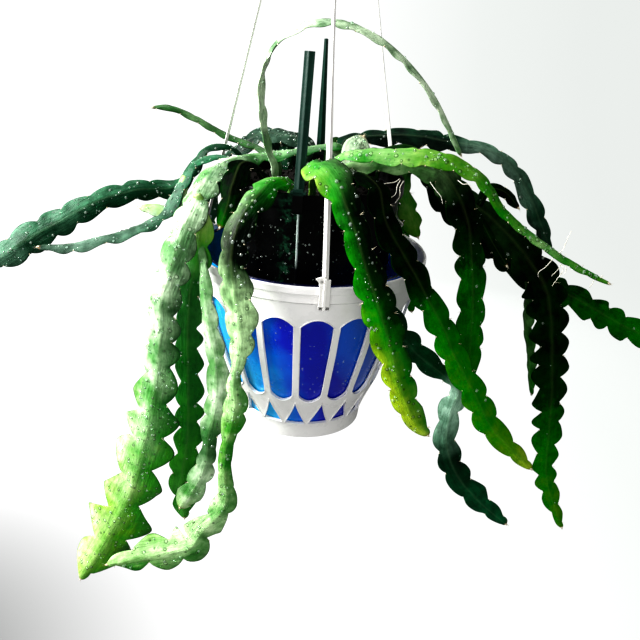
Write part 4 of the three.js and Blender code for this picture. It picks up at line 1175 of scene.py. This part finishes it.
class Stem:
    """One stem's skin: its middle line, its margins with their lobes, and its thickness."""

    def __init__(self, row):
        self.row = row
        self.line = Line([at_rim(*point) for point in row["path"]])
        self.length = self.line.length / MM
        self.shift = 1 / 2 if row.get("name") in HALF_SHIFTED else 1 / 3
        self.peak = row.get("peak", 0.6)
        self.fold = row.get("fold", FOLD)
        self.seed = len(row["path"])
        x, y, z = row["path"][0]
        self.rooted = z < SOIL_TOP and math.hypot(x, y) < NURSERY_RADIUS

    def axes(self, fraction):
        """The middle there, the way to the right margin and the way out of the broad side."""
        middle, along = self.line.at(fraction)
        side = Vector(keyed(self.row["face"], fraction)).cross(along).normalized()
        return middle, side, along.cross(side)

    def turn(self, fraction, hand):
        """Lobes passed on the left (-1) or right (1) margin, uneven in length."""
        passed = keyed(self.row["lobes"], fraction)[0]
        return passed + 0.1 * math.sin(2.3 * passed) + (self.shift if hand > 0 else 0)

    def notch(self, fraction, hand):
        """The share of its half width that the margin loses there, each lobe a little different."""
        cut = keyed(self.row["cut"], fraction)[0]
        number = math.floor(self.turn(fraction, hand))
        step = self.turn(fraction, hand) - number
        peak = self.peak + 0.08 * math.sin(2.4 * number + 1.7 * hand + self.seed)
        off = (peak - step) / peak if step < peak else (step - peak) / (1 - peak)
        roundness = 2.2 - 0.7 * clamp((cut - 0.25) / 0.3)
        return cut * (1 + 0.2 * math.sin(1.9 * number + hand + self.seed)) * off**roundness

    def half(self, fraction, hand):
        """Half width in millimetres on that hand, with its lobe."""
        width = keyed(self.row["width"], fraction)[0]
        distance = fraction * self.length
        if self.rooted:
            width = min(width, NECK_WIDTH + NECK_SPREAD * max(0, distance - NECK_LENGTH))
        return width / 2 * (1 - (self.notch(fraction, hand) if distance > NECK_LENGTH else 0))

    def notches(self, hand):
        """The fractions at which a margin's notches lie, past the neck."""
        steps = round(self.length)
        numbers = [math.floor(self.turn(k / steps, hand)) for k in range(steps)]
        return [k / steps for k in range(2 * NECK_LENGTH, steps - 3) if numbers[k] > numbers[k - 1]]

    def tip(self, fraction):
        """Narrows the last few millimetres to a round tip."""
        left = (1 - fraction) * self.length
        reach = 0.45 * keyed(self.row["width"], fraction)[0] + 1
        return math.sqrt(1 - (1 - clamp(left / reach, 0.02)) ** 2)

    def thickness(self, fraction, across, half):
        """Half thickness in millimetres: thin wings, each lobe a little swollen, and a midrib."""
        rib = min(MIDRIB_HALF_THICKNESS, half * 0.45)
        ridge = math.exp(-((across * half / MIDRIB_SPREAD) ** 2))
        swell = 0.35 * math.sin(math.pi * (self.turn(fraction, across) % 1)) * abs(across) * (1 - across**2)
        wing = min(MARGIN_HALF_THICKNESS + 0.3 * (1 - abs(across)) + swell, rib)
        return wing + (rib - wing) * ridge

    def point(self, fraction, across, out, axes=None):
        """A point of the skin: across runs from -1 to 1, and out from -1 to 1 through its thickness."""
        middle, side, face = axes or self.axes(fraction)
        half = self.half(fraction, across) * self.tip(fraction)
        turn = self.turn(fraction, across)
        wave = 0.09 * half * math.sin(2 * math.pi * turn + math.floor(turn) % 3) * across**2
        fold = -self.fold * half * abs(across) ** 1.4
        rise = out * self.thickness(fraction, across, half) * self.tip(fraction) + wave + fold
        return middle + side * (across * half * MM) + face * (rise * MM)

    def normal(self, fraction, across, out):
        """The way straight out of the skin there."""
        step = 0.5 / self.length
        along = self.point(fraction + step, across, out) - self.point(fraction - step, across, out)
        over = self.point(fraction, across + 0.03, out) - self.point(fraction, across - 0.03, out)
        way = over.cross(along).normalized()
        return way * (-out if way.dot(self.axes(fraction)[2]) < 0 else out)

    def mesh(self):
        """The stem's closed skin as a bmesh, with its form, grain and tone as colour attributes."""
        steps = max(10, round(self.length / RING_STEP))
        bm = tube(SECTION_SIDES, steps)
        form = bm.verts.layers.float_color.new("form")
        grain = bm.verts.layers.float_color.new("grain")
        tone = bm.verts.layers.float_color.new("tone")
        wet = clamp(self.row["drops"] / 0.4)
        rings = [self.axes(k / steps) for k in range(steps + 1)]
        for v in bm.verts:
            fraction = clamp(v.co.z + 0.5)
            across = math.copysign(abs(v.co.x) ** 1.5, v.co.x)
            # Age is partly painted shade, low where the stem lies in shadow, and paleness a painted wet
            # sheen; lean shifts the age across as painted shade, and sheen pales the left side as painted
            # light from the left.
            age, pale = keyed(self.row["tone"], fraction)
            age += self.row.get("lean", 0) * across
            pale -= self.row.get("sheen", 0) * across
            half = self.half(fraction, across)
            v[form] = (abs(across), wet, 0, 1)
            v[grain] = (across * half / 3.5, fraction * self.length / 22, self.seed * 1.7, 1)
            dry = clamp(1 - (1 - fraction) * self.length / DRY_TIP)
            v[tone] = (clamp(age), max(0, pale), dry, 1)
            ring = round(fraction * steps)
            out = clamp(v.co.y * 2, -1, 1)
            v.co = self.point(ring / steps, across, out, rings[ring])
        return bm


def half_bay_outline():
    """The white wall from a rib's middle to a window's middle, as (place, height) round its outline."""
    def arc(width, spring, crown, steps=10):
        shares = [k / steps for k in range(steps + 1)]
        return [(1 - (1 - width) * u, crown + (spring - crown) * u**2) for u in shares]

    foot, top = BODY[0][0], BODY[-1][0]
    outline = [(0, top), *triangle_side(), (0, TRIANGLE_BASE), (0, foot), (1, foot)]
    outline += arc(RIB_HALF_FOOT, WINDOW_FOOT, WINDOW_SAG)
    outline += arc(RIB_HALF_TOP, WINDOW_SPRING, WINDOW_CROWN)[::-1]
    outline += [(1, top)]
    return outline


def triangle_side(steps=8):
    """The bowed side of the opening under a rib, from its apex to its base, as (place, height)."""
    rows = []
    for k in range(steps + 1):
        t = k / steps
        place = TRIANGLE_REACH * t - TRIANGLE_BOW * math.sin(math.pi * t)
        rows.append((max(0, place), TRIANGLE_APEX + (TRIANGLE_BASE - TRIANGLE_APEX) * t))
    return rows


def bay_point(place, height, proud=0.0):
    """A point of the planter's outside, place half bays from the first rib, stood proud if asked."""
    return at_turn(RIB_TURN + place * 180 / BAYS, body_radius(height) + proud, height)


def planter_wall(finish):
    """The wall with its arched windows and half triangles, cut from one bay and repeated round."""
    bm = bmesh.new()
    stretch = 15
    bm.faces.new([bm.verts.new((place * stretch, height, 0)) for place, height in half_bay_outline()])
    cuts = [((0, height, 0), (0, 1, 0)) for height in range(-154, -14, 4)]
    cuts += [((stretch * place, 0, 0), (1, 0, 0)) for place in (0.2, 0.4, 0.6, 0.8)]
    for corner, normal in cuts:
        everything = bm.verts[:] + bm.edges[:] + bm.faces[:]
        bmesh.ops.bisect_plane(bm, geom=everything, dist=1e-5, plane_co=corner, plane_no=normal)
    bmesh.ops.mirror(bm, geom=bm.verts[:] + bm.edges[:] + bm.faces[:], axis="X", merge_dist=1e-4)
    for v in bm.verts:
        v.co = bay_point(v.co.x / stretch, v.co.y)
    bmesh.ops.spin(
        bm,
        geom=bm.verts[:] + bm.edges[:] + bm.faces[:],
        cent=(0, 0, RIM_Z),
        axis=(0, 0, 1),
        angle=2 * math.pi * (BAYS - 1) / BAYS,
        steps=BAYS - 1,
        use_duplicate=True,
    )
    weld(bm, 1e-5)
    piece = new_piece("planter_wall", bm, finish)
    wall = piece.modifiers.new("wall", "SOLIDIFY")
    wall.thickness = WALL * MM
    wall.offset = -1
    wall.use_even_offset = True
    return soften(piece, 0.5, 2, 40)


def planter_beads(finish):
    """The fine raised line round each window and each triangle."""
    outline = half_bay_outline()
    window = [p for p in outline if WINDOW_SAG <= p[1] <= WINDOW_CROWN and p[0] > 0]
    curve = bpy.data.curves.new("planter_beads", "CURVE")
    curve.dimensions = "3D"
    curve.bevel_depth = 0.55 * MM
    curve.bevel_resolution = 1
    for bay in range(BAYS):
        centre = 2 * bay + 1
        half = [(place - 1, height) for place, height in window]
        ring = half + [(-place, height) for place, height in half[::-1]]
        add_ring(curve, [bay_point(centre + place, height, 0.1) for place, height in ring])
        side = triangle_side()
        edge = [(-place, height) for place, height in side[::-1]] + side
        add_ring(curve, [bay_point(2 * bay + place, height, 0.1) for place, height in edge], False)
    curve.materials.append(finish)
    beads = put_in_scene("planter_beads", curve)
    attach(beads, "root")
    return beads


def add_ring(curve, points, cyclic=True):
    spline = curve.splines.new("POLY")
    spline.points.add(len(points) - 1)
    for corner, place in zip(spline.points, points):
        corner.co = (*place, 1)
    spline.use_cyclic_u = cyclic


def planter_rim(finish):
    """The rim's two bands and rolled lip, turned round the axis."""
    top = BODY[-1][0]
    outer = body_radius(top)
    lip = RIM_RADIUS
    profile = [
        (outer - WALL, top - 3), (outer, top - 2), (lip - 3.2, top - 0.4), (lip - 2.8, -7.2),
        (lip - 0.4, -6.4), (lip, -1.2), (lip - 0.8, -0.1), (lip - 1.4, 0), (lip - 2.4, -0.8),
        (lip - 3.4, -6), (outer - WALL, top),
    ]
    return soften(new_piece("planter_rim", turned(profile, closed=True), finish), 0.5)


def planter_floor(finish):
    foot = BODY[0][0]
    inner = body_radius(foot) - WALL
    profile = [
        (0, foot + 1.2), (inner - 7, foot + 1.2), (inner - 5, foot), (inner + 1, foot), (inner + 1, foot + 3),
        (0, foot + 3),
    ]
    return soften(new_piece("planter_floor", turned(profile), finish), 0.4)


def liner(finish):
    heights = [-154.6, -143, -130, -110, -88, -62, -37, -20, -3]
    outer = [(body_radius(height) - LINER_OFFSET, height) for height in heights]
    inner = [(radius - LINER_WALL, height) for radius, height in outer[::-1]]
    lip = [(outer[-1][0] + 1.2, -3), (outer[-1][0] + 1.2, -1.6), (inner[0][0], -1.6)]
    profile = [(0, heights[0]), *outer, *lip, *inner, (0, heights[0] + LINER_WALL)]
    return soften(new_piece("liner_shell", turned(profile), finish), 0.4)


def nursery_radius(height):
    """Outside radius of the nursery pot's wall under its lip."""
    reach = NURSERY_RADIUS - NURSERY_LIP_STEP - NURSERY_FOOT_RADIUS
    return NURSERY_FOOT_RADIUS + reach * (height - NURSERY_FOOT) / (NURSERY_TOP - NURSERY_LIP - NURSERY_FOOT)


def nursery_pot(finish):
    lip = NURSERY_TOP - NURSERY_LIP
    floor = NURSERY_FOOT + NURSERY_WALL
    inner = NURSERY_RADIUS - NURSERY_WALL
    profile = [
        (0, NURSERY_FOOT), (NURSERY_FOOT_RADIUS - 2, NURSERY_FOOT), (NURSERY_FOOT_RADIUS, NURSERY_FOOT + 2),
        (nursery_radius(0), 0), (nursery_radius(lip), lip), (NURSERY_RADIUS - 0.8, lip),
        (NURSERY_RADIUS, lip + 1), (NURSERY_RADIUS, NURSERY_TOP - 1.2), (NURSERY_RADIUS - 0.4, NURSERY_TOP),
        (inner + 0.2, NURSERY_TOP), (inner, NURSERY_TOP - 1), (inner - 0.6, lip),
        (nursery_radius(SOIL_TOP) - NURSERY_WALL, SOIL_TOP), (nursery_radius(floor) - NURSERY_WALL, floor),
        (0, floor),
    ]
    pot = soften(new_piece("nursery_shell", turned(profile), finish), 0.5)
    seam = nursery_seam(seam_drip_and_highlight_finish())
    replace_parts(pot, "nursery_pot")
    return pot, seam


def nursery_seam(finish):
    """The moulded line down the front of the nursery pot."""
    low, high = (
        at_turn(SEAM["turn"], nursery_radius(height) + SEAM["proud"], height)
        for height in (SEAM["foot"], NURSERY_TOP - NURSERY_LIP)
    )
    out = (at_turn(SEAM["turn"], 1, 0) - at_rim(0, 0, 0)).normalized()
    side = out.cross(high - low).normalized()

    def place(fraction, cosine, sine):
        sideways = side * (cosine * SEAM["half_width"] * MM)
        return low.lerp(high, fraction) + sideways + out * (sine * SEAM["half_depth"] * MM)

    return new_piece("nursery_seam", sleeve(8, 24, place), finish)


def soil(finish):
    """Lumpy damp soil with loose crumbs, heaped a little in the middle."""
    radius = nursery_radius(SOIL_TOP) - NURSERY_WALL - GAP
    floor = NURSERY_FOOT + NURSERY_WALL + GAP
    profile = [(0, SOIL_TOP)] + [(radius * k / 22, SOIL_TOP) for k in range(1, 23)]
    profile += [(nursery_radius(floor) - NURSERY_WALL - GAP, floor), (0, floor)]
    bm = turned(profile, 96)
    for v in bm.verts:
        if v.co.z > RIM_Z + (SOIL_TOP - 1) * MM:
            edge = clamp((radius - math.hypot(v.co.x, v.co.y) / MM) / 6)
            v.co.z += edge * (2.5 * noise.noise(v.co * 60) + 1.6 * noise.noise(v.co * 210) + 1) * MM
    dice = random.Random(5)
    for _ in range(CRUMBS):
        far = (radius - 4) * math.sqrt(dice.random())
        place = at_turn(dice.uniform(0, 360), far, SOIL_TOP + dice.uniform(0.4, 2.2))
        size = dice.uniform(0.7, 2.4) * MM
        turn = Matrix.Rotation(dice.uniform(0, 6), 4, Vector((dice.random(), dice.random(), 1)))
        squash = Matrix.Diagonal((size, size * dice.uniform(0.5, 1), size * dice.uniform(0.5, 1), 1))
        shape = Matrix.Translation(place) @ turn @ squash
        bmesh.ops.create_icosphere(bm, subdivisions=1, radius=1, matrix=shape)
    piece = new_piece("soil_mix", bm, finish)
    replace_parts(piece, "soil")
    return piece


def strap(start, end, normal, widths, thickness, ridge=0.55):
    """A straight strap with a raised middle on both sides, as wide as its keyed widths."""
    along = (end - start).normalized()
    side = normal.cross(along).normalized()
    out = along.cross(side)

    def place(fraction, cosine, sine):
        width = keyed(widths, fraction)[0]
        high = thickness / 2 * (ridge + (1 - ridge) * clamp(1.6 - 3.2 * abs(cosine)))
        sideways = side * (cosine * width / 2 * MM)
        return start.lerp(end, fraction) + sideways + out * (clamp(2.2 * sine, -1, 1) * high * MM)

    return sleeve(20, 40, place)


def hanger_arm(finish, name, turn):
    """A ridged arm, its plate over the rim with a barb, and the foot that catches under the band."""
    outside = RIM_RADIUS + GAP
    proud = outside + CLIP_WALL
    middle = outside + CLIP_WALL / 2
    foot_top = BODY[-1][0] - GAP
    foot_bottom = foot_top - CLIP_FOOT["thickness"]
    half = CLIP_WIDTH / 2
    ridge = CLIP_RIDGE["half_width"]
    bm = bmesh.new()
    top, low = at_rim(0, -ARM_TOP_RADIUS, HUB_BOTTOM - 2 * GAP), at_rim(0, -middle, ARM_FOOT)
    gather(bm, strap(top, low, Vector((0, -1, 0.25)), ARM_WIDTHS, ARM_THICKNESS, 0.4))
    gather(bm, block(-half, half, -proud, -outside, foot_bottom, CLIP_TOP))
    gather(bm, block(-half, half, -proud, -outside + CLIP_FOOT["reach"], foot_bottom, foot_top))
    seat_back = -outside + CLIP_SEAT["reach"]
    gather(bm, block(-half, half, -middle, seat_back, GAP, GAP + CLIP_SEAT["thickness"]))
    front = -proud - CLIP_RIDGE["proud"]
    gather(bm, block(-ridge, ridge, front, -outside - 1, foot_bottom, CLIP_TOP + 1))
    gather(bm, clip_barb(half, proud, outside))
    bmesh.ops.transform(bm, matrix=about_axis(turn), verts=bm.verts)
    piece = soften(new_piece("arm_" + name, bm, finish), 0.35, 2)
    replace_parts(piece, "hanger_arm_" + name)
    return piece


def clip_barb(half, proud, outside):
    """The barb beside a clip's plate, cut in below its point and sloped above it."""
    high = CLIP_BARB["half_height"]
    barb = block(-half - CLIP_BARB["reach"], 0, -proud, -outside, CLIP_TOP - high, CLIP_TOP + high)
    for v in barb.verts:
        if v.co.x < -half * MM:
            if v.co.z < RIM_Z + CLIP_TOP * MM:
                v.co.x += CLIP_BARB["slant"] * MM
            else:
                v.co.z -= CLIP_BARB["drop"] * MM
    return barb


def hanger_hook(finish):
    """The fluted hub and the bent hook above it."""
    profile = [
        (0, HUB_BOTTOM), (HUB_RADIUS - 1, HUB_BOTTOM), (HUB_RADIUS, HUB_BOTTOM + 1),
        (HUB_RADIUS, HUB_BOTTOM + 5), (HUB_RADIUS - 1.6, HUB_BOTTOM + 7), (6, HUB_BOTTOM + 18),
        (4.2, HUB_TOP - 3), (3.6, HUB_TOP), (0, HUB_TOP),
    ]
    bm = turned(profile, 48)
    for k in range(HUB_RIBS):
        outer = -HUB_RADIUS - 0.2
        rib = block(-HUB_RIB_HALF, HUB_RIB_HALF, outer, -3, HUB_BOTTOM + 1.5, HUB_TOP - 8)
        for v in rib.verts:
            if v.co.z > RIM_Z + (HUB_BOTTOM + 10) * MM:
                v.co.y *= 0.55
        gather(bm, rib, about_axis(360 / HUB_RIBS * k))
    hub = soften(new_piece("hook_hub", bm, finish), 0.35, 2)
    centre = (HOOK_TOP - RIM_Z) / MM - HOOK_WIRE - HOOK_BEND
    points = [(0, HUB_TOP - 8), (0, centre - HOOK_BEND - 9), (HOOK_BEND * 0.45, centre - HOOK_BEND * 1.12)]
    for degrees in range(-40, 206, 35):
        angle = math.radians(degrees)
        points.append((HOOK_BEND * math.cos(angle), centre + HOOK_BEND * math.sin(angle)))
    line = Line([at_rim(x, 0, z) for x, z in points])

    def place(fraction, cosine, sine):
        middle, along = line.at(fraction)
        side = Vector((0, 1, 0))
        end = math.sqrt(1 - (1 - clamp((1 - fraction) * 30, 0.02)) ** 2)
        return middle + (side * cosine + along.cross(side) * sine) * (HOOK_WIRE * MM * end)

    wire = new_piece("hook_wire", sleeve(16, 120, place), finish)
    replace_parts(hub, "hanger_hook")
    return hub, wire


def upright(finish, name, spec):
    """A cut-off arm on the nursery pot's lip: its clip, its foot and its leaning strap."""
    outside = NURSERY_RADIUS + GAP
    proud = outside + UPRIGHT_CLIP
    seat = NURSERY_TOP + GAP
    hook = NURSERY_TOP - NURSERY_LIP - GAP
    half = UPRIGHT_WIDTH / 2
    low = at_rim(0, -outside + spec["thickness"] / 2, seat + UPRIGHT_CLIP / 2)
    top = at_rim(0, -outside + spec["lean"], NURSERY_TOP + spec["height"])
    bm = bmesh.new()
    widths = [(0, UPRIGHT_WIDTH), (1, spec["top_width"])]
    gather(bm, strap(low, top, Vector((0, -1, 0.2)), widths, spec["thickness"], 0.35))
    gather(bm, block(-half, half, -proud, -outside, hook - UPRIGHT_CLIP, seat + 2 * UPRIGHT_CLIP))
    wide = half + UPRIGHT_SEAT["spread"]
    seat_back = -outside + UPRIGHT_SEAT["reach"]
    gather(bm, block(-wide, wide, -proud, seat_back, seat, seat + UPRIGHT_CLIP))
    gather(bm, block(-half, half, -proud, -nursery_radius(hook) - GAP, hook - UPRIGHT_CLIP, hook))
    bmesh.ops.transform(bm, matrix=about_axis(spec["turn"]), verts=bm.verts)
    piece = soften(new_piece("cut_arm_" + name, bm, finish), 0.4, 2)
    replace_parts(piece, "upright_" + name)
    return piece


def grow_stems(finishes):
    """Every stem with its side shoots as one piece, each replacing its plain solid."""
    grown = []
    for row in STEMS:
        if "name" not in row:
            continue
        parts = [Stem(row)] + [Stem(shoot) for shoot in STEMS if shoot.get("from") == row["name"]]
        bm = parts[0].mesh()
        for shoot in parts[1:]:
            gather(bm, shoot.mesh())
        skin = finishes[row.get("skin", row["slot"])]
        piece = new_piece("plant_" + row["name"], bm, skin)
        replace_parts(piece, "stem_" + row["name"])
        grown += parts
    return grown


def standing(normal):
    """A turn that stands +Z up along normal."""
    return normal.to_track_quat("Z", "Y").to_matrix().to_4x4()


def water_drops(finish, stems):
    """Drops strewn over the stems, more on the wet ones, and a few on the liner and the nursery pot."""
    dice = random.Random(11)
    bead = bmesh.new()
    bmesh.ops.create_uvsphere(bead, u_segments=8, v_segments=5, radius=1)
    mesh = mesh_of("drop", bead)
    bm = bmesh.new()

    def drop(place, normal, size):
        flat = Matrix.Diagonal((size, size * dice.uniform(0.85, 1.2), size * dice.uniform(0.55, 0.8), 1))
        mesh_copy = mesh.copy()
        mesh_copy.transform(Matrix.Translation(place) @ standing(normal) @ flat)
        bm.from_mesh(mesh_copy)
        bpy.data.meshes.remove(mesh_copy)

    def strew(count, turns, heights, radius_at, least, more):
        """Drops on a pot, between two turns and two heights, at the radius of their height."""
        for _ in range(count):
            turn = dice.uniform(*turns)
            height = dice.uniform(*heights)
            normal = at_turn(turn, 1, 0) - at_rim(0, 0, 0)
            size = (least + more * dice.random() ** 2) * MM
            drop(at_turn(turn, radius_at(height), height), normal, size)

    for stem in stems:
        for _ in range(round(stem.length * stem.row["drops"])):
            fraction = 0.05 + 0.92 * dice.random() ** 1.3
            across = dice.uniform(-0.9, 0.9)
            out = 1 if dice.random() < 0.85 else -1
            size = (0.45 + 1.15 * dice.random() ** 2.2) * MM
            drop(stem.point(fraction, across, out), stem.normal(fraction, across, out), size)
    all_round = (RIB_TURN, RIB_TURN + 360)
    strew(LINER_DROPS, all_round, (-108, -34), lambda h: body_radius(h) - LINER_OFFSET, 0.35, 0.6)
    strew(NURSERY_DROPS, (-80, 80), (-8, 52), nursery_radius, 0.25, 0.7)
    bpy.data.meshes.remove(mesh)
    return new_piece("water_drops", bm, finish)


def aerial_roots(finish):
    """Thin white roots that hang from the stems' undersides."""
    bm = bmesh.new()
    for root in ROOTS:
        line = Line([at_rim(*point) for point in root])

        def place(fraction, cosine, sine):
            middle, along = line.at(fraction)
            side = along.cross(Vector((0, 1, 0))).normalized()
            radius = (0.36 - 0.16 * fraction) * MM
            return middle + (side * cosine + along.cross(side) * sine) * radius

        gather(bm, sleeve(6, 16, place))
    return new_piece("aerial_roots", bm, finish)


def hair(bm, root, way, length, radius):
    """One fine tapering bristle."""
    turn = Matrix.Translation(root + way * (length / 2)) @ standing(way)
    bmesh.ops.create_cone(
        bm, cap_ends=False, segments=3, radius1=radius, radius2=radius * 0.2, depth=length, matrix=turn
    )


def areoles(finish, stems):
    """The woolly dot in each notch of a margin, with its few bristles, and a tuft at each tip."""
    dice = random.Random(23)
    bm = bmesh.new()
    for stem in stems:
        for hand in (-1, 1):
            for fraction in stem.notches(hand):
                _, side, face = stem.axes(fraction)
                root = stem.point(fraction, hand * 0.96, 0)
                size = dice.uniform(0.4, 0.7) * MM
                bmesh.ops.create_icosphere(bm, subdivisions=1, radius=size, matrix=Matrix.Translation(root))
                along = side.cross(face)
                for _ in range(dice.randint(-1, 2) + stem.row.get("bristles", 0)):
                    way = side * hand + along * dice.uniform(-0.4, 0.9) + face * dice.uniform(-0.2, 0.8)
                    hair(bm, root, way.normalized(), dice.uniform(1.5, 4.5) * MM, 0.15 * MM)
        end, along = stem.line.at(1.0)
        side = stem.axes(1.0)[1]
        bud = Matrix.Translation(end - along * MM) @ standing(along) @ Matrix.Diagonal((1, 1, 1.7, 1))
        bmesh.ops.create_icosphere(bm, subdivisions=2, radius=1.1 * MM, matrix=bud)
        for _ in range(4):
            way = along + side * dice.uniform(-0.7, 0.7) + along.cross(side) * dice.uniform(-0.5, 0.5)
            hair(bm, end, way.normalized(), dice.uniform(2, 4) * MM, 0.14 * MM)
    return new_piece("areole_bristles", bm, finish)


def add_camera():
    pitch, yaw, roll = (math.radians(v) for v in (CAMERA_PITCH, CAMERA_YAW, CAMERA_ROLL))
    forward = Vector((math.sin(yaw) * math.cos(pitch), math.cos(yaw) * math.cos(pitch), -math.sin(pitch)))
    level = Vector((math.cos(yaw), -math.sin(yaw), 0))
    above = level.cross(forward)
    right = level * math.cos(roll) + above * math.sin(roll)
    up = above * math.cos(roll) - level * math.sin(roll)
    data = bpy.data.cameras.new("camera")
    data.lens = CAMERA_LENS
    data.sensor_width = CAMERA_SENSOR
    data.clip_start = 0.01
    camera = put_in_scene("camera", data)
    turn = Matrix((right, up, -forward)).transposed().to_4x4()
    camera.matrix_world = Matrix.Translation(at_rim(0, -CAMERA_BACK, CAMERA_HEIGHT)) @ turn
    bpy.context.scene.camera = camera


def add_light(name, offset, size, power, gleams):
    """A round soft light aimed at the middle of the rim; one that doesn't gleam leaves no reflection."""
    data = bpy.data.lights.new(name, "AREA")
    data.shape = "DISK"
    data.size = size
    data.energy = power
    light = put_in_scene(name, data)
    light.visible_glossy = gleams
    away = Vector(offset)
    light.matrix_world = Matrix.Translation(at_rim(0, 0, 0) + away) @ standing(away)


def paper_finish(floor_z):
    """Glowing pale paper with painted shade: darker to the right, mid grey to the front, a round shadow low
    left.
    """
    paper = Finish("pale paper")
    # Painted shade: the glow is darker to the right, away from the light on the left, and mid grey to the
    # front.
    painted_shade_glow = paper.ramp(
        paper.spread(paper.axis(0), -0.9, 1.1, 0, 1),
        [
            (0.0, (0.9, 0.9, 0.9)),
            (0.4, (0.8, 0.8, 0.8)),
            (0.78, (0.66, 0.68, 0.665)),
            (1.0, (0.63, 0.65, 0.635)),
        ],
    )
    painted_shade_glow = paper.mix(paper.spread(paper.axis(1), 0.1, -0.7), painted_shade_glow, (0.74, 0.74, 0.74))
    # A painted shadow: a round dark place on the floor low on the left.
    painted_shadow = paper.spread(paper.far_from((-0.62, 0.05, floor_z)), 0.56, 0.25, 0, 0.72)
    paper.feed("Emission Color", paper.mix(painted_shadow, painted_shade_glow, (0.06, 0.065, 0.06)))
    paper.set(Base_Color=(0.05, 0.05, 0.05, 1), Roughness=0.9, Emission_Strength=0.9)
    return paper.material


def add_stage():
    """A pale floor that curves up into a wall behind, soft light from the left, and a pale sky."""
    floor_z = CAD_BOX[0][2] - PAPER_DROP
    bm = bmesh.new()
    bmesh.ops.create_grid(bm, x_segments=1, y_segments=48, size=1)
    for v in bm.verts:
        t = (v.co.y + 1) / 2
        angle = clamp((t - PAPER_FLAT) / (PAPER_BENT - PAPER_FLAT)) * math.pi / 2
        back = PAPER_FRONT + PAPER_FLOOR * min(t, PAPER_FLAT) / PAPER_FLAT + PAPER_BEND * math.sin(angle)
        up = floor_z + PAPER_BEND * (1 - math.cos(angle)) + PAPER_RISE * max(0, t - PAPER_BENT)
        v.co = Vector((v.co.x * PAPER_HALF_WIDTH, back, up))
    mesh = mesh_of("floor", bm)
    mesh.materials.append(paper_finish(floor_z))
    mesh.polygons.foreach_set("use_smooth", [True] * len(mesh.polygons))
    floor = put_in_scene("floor", mesh)
    floor.visible_diffuse = False
    floor.visible_glossy = False
    for name, (offset, size, power, gleams) in LIGHTS.items():
        add_light(name, offset, size, power, gleams)
    add_sky()
    bpy.context.scene.view_settings.view_transform = "Standard"
    bpy.context.scene.view_settings.look = "High Contrast"


def add_sky():
    """A white sky to the eye, which lights the object only a little."""
    world = bpy.data.worlds.new("sky")
    world.use_nodes = True
    nodes, links = world.node_tree.nodes, world.node_tree.links
    seen = nodes.new("ShaderNodeLightPath").outputs["Is Camera Ray"]
    strength = nodes.new("ShaderNodeMapRange")
    links.new(seen, strength.inputs["Value"])
    strength.inputs["To Min"].default_value = SKY_LIGHT
    strength.inputs["To Max"].default_value = SKY_SEEN
    links.new(strength.outputs["Result"], nodes["Background"].inputs["Strength"])
    nodes["Background"].inputs["Color"].default_value = (1, 1, 1, 1)
    bpy.context.scene.world = world


def main():
    white = plastic_finish("planter white", (0.93, 0.92, 0.9), (0.8, 0.79, 0.74), 0.28)
    ivory = plastic_finish("hanger white", (0.88, 0.87, 0.83), (0.76, 0.73, 0.66), 0.35)
    # The cut arms are painted black below the nursery pot's top, as shade where their clips sit on its lip.
    dark = plastic_finish(
        "cut arm green", (0.006, 0.03, 0.02), (0.03, 0.1, 0.07), 0.36, 0, 0.3,
        painted_shade_below=RIM_Z + NURSERY_TOP * MM,
    )
    skins = {key: stem_finish(*recipe) for key, recipe in SKINS.items()}
    wall = planter_wall(white)
    planter_beads(white)
    planter_rim(white)
    planter_floor(white)
    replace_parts(wall, "planter")
    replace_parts(liner(liner_finish()), "liner")
    nursery_pot(nursery_finish())
    soil(soil_finish())
    hanger_hook(ivory)
    for name, turn in ARM_TURNS.items():
        hanger_arm(ivory, name, turn)
    upright(dark, "front", UPRIGHT_FRONT)
    upright(dark, "back", UPRIGHT_BACK)
    stems = grow_stems(skins)
    aerial_roots(pith_finish("root white", (0.9, 0.88, 0.8), (0.7, 0.66, 0.5)))
    areoles(pith_finish("bristle cream", (0.8, 0.76, 0.6), (0.4, 0.3, 0.14)), stems)
    water_drops(water_finish(), stems)
    add_stage()
    add_camera()


main()
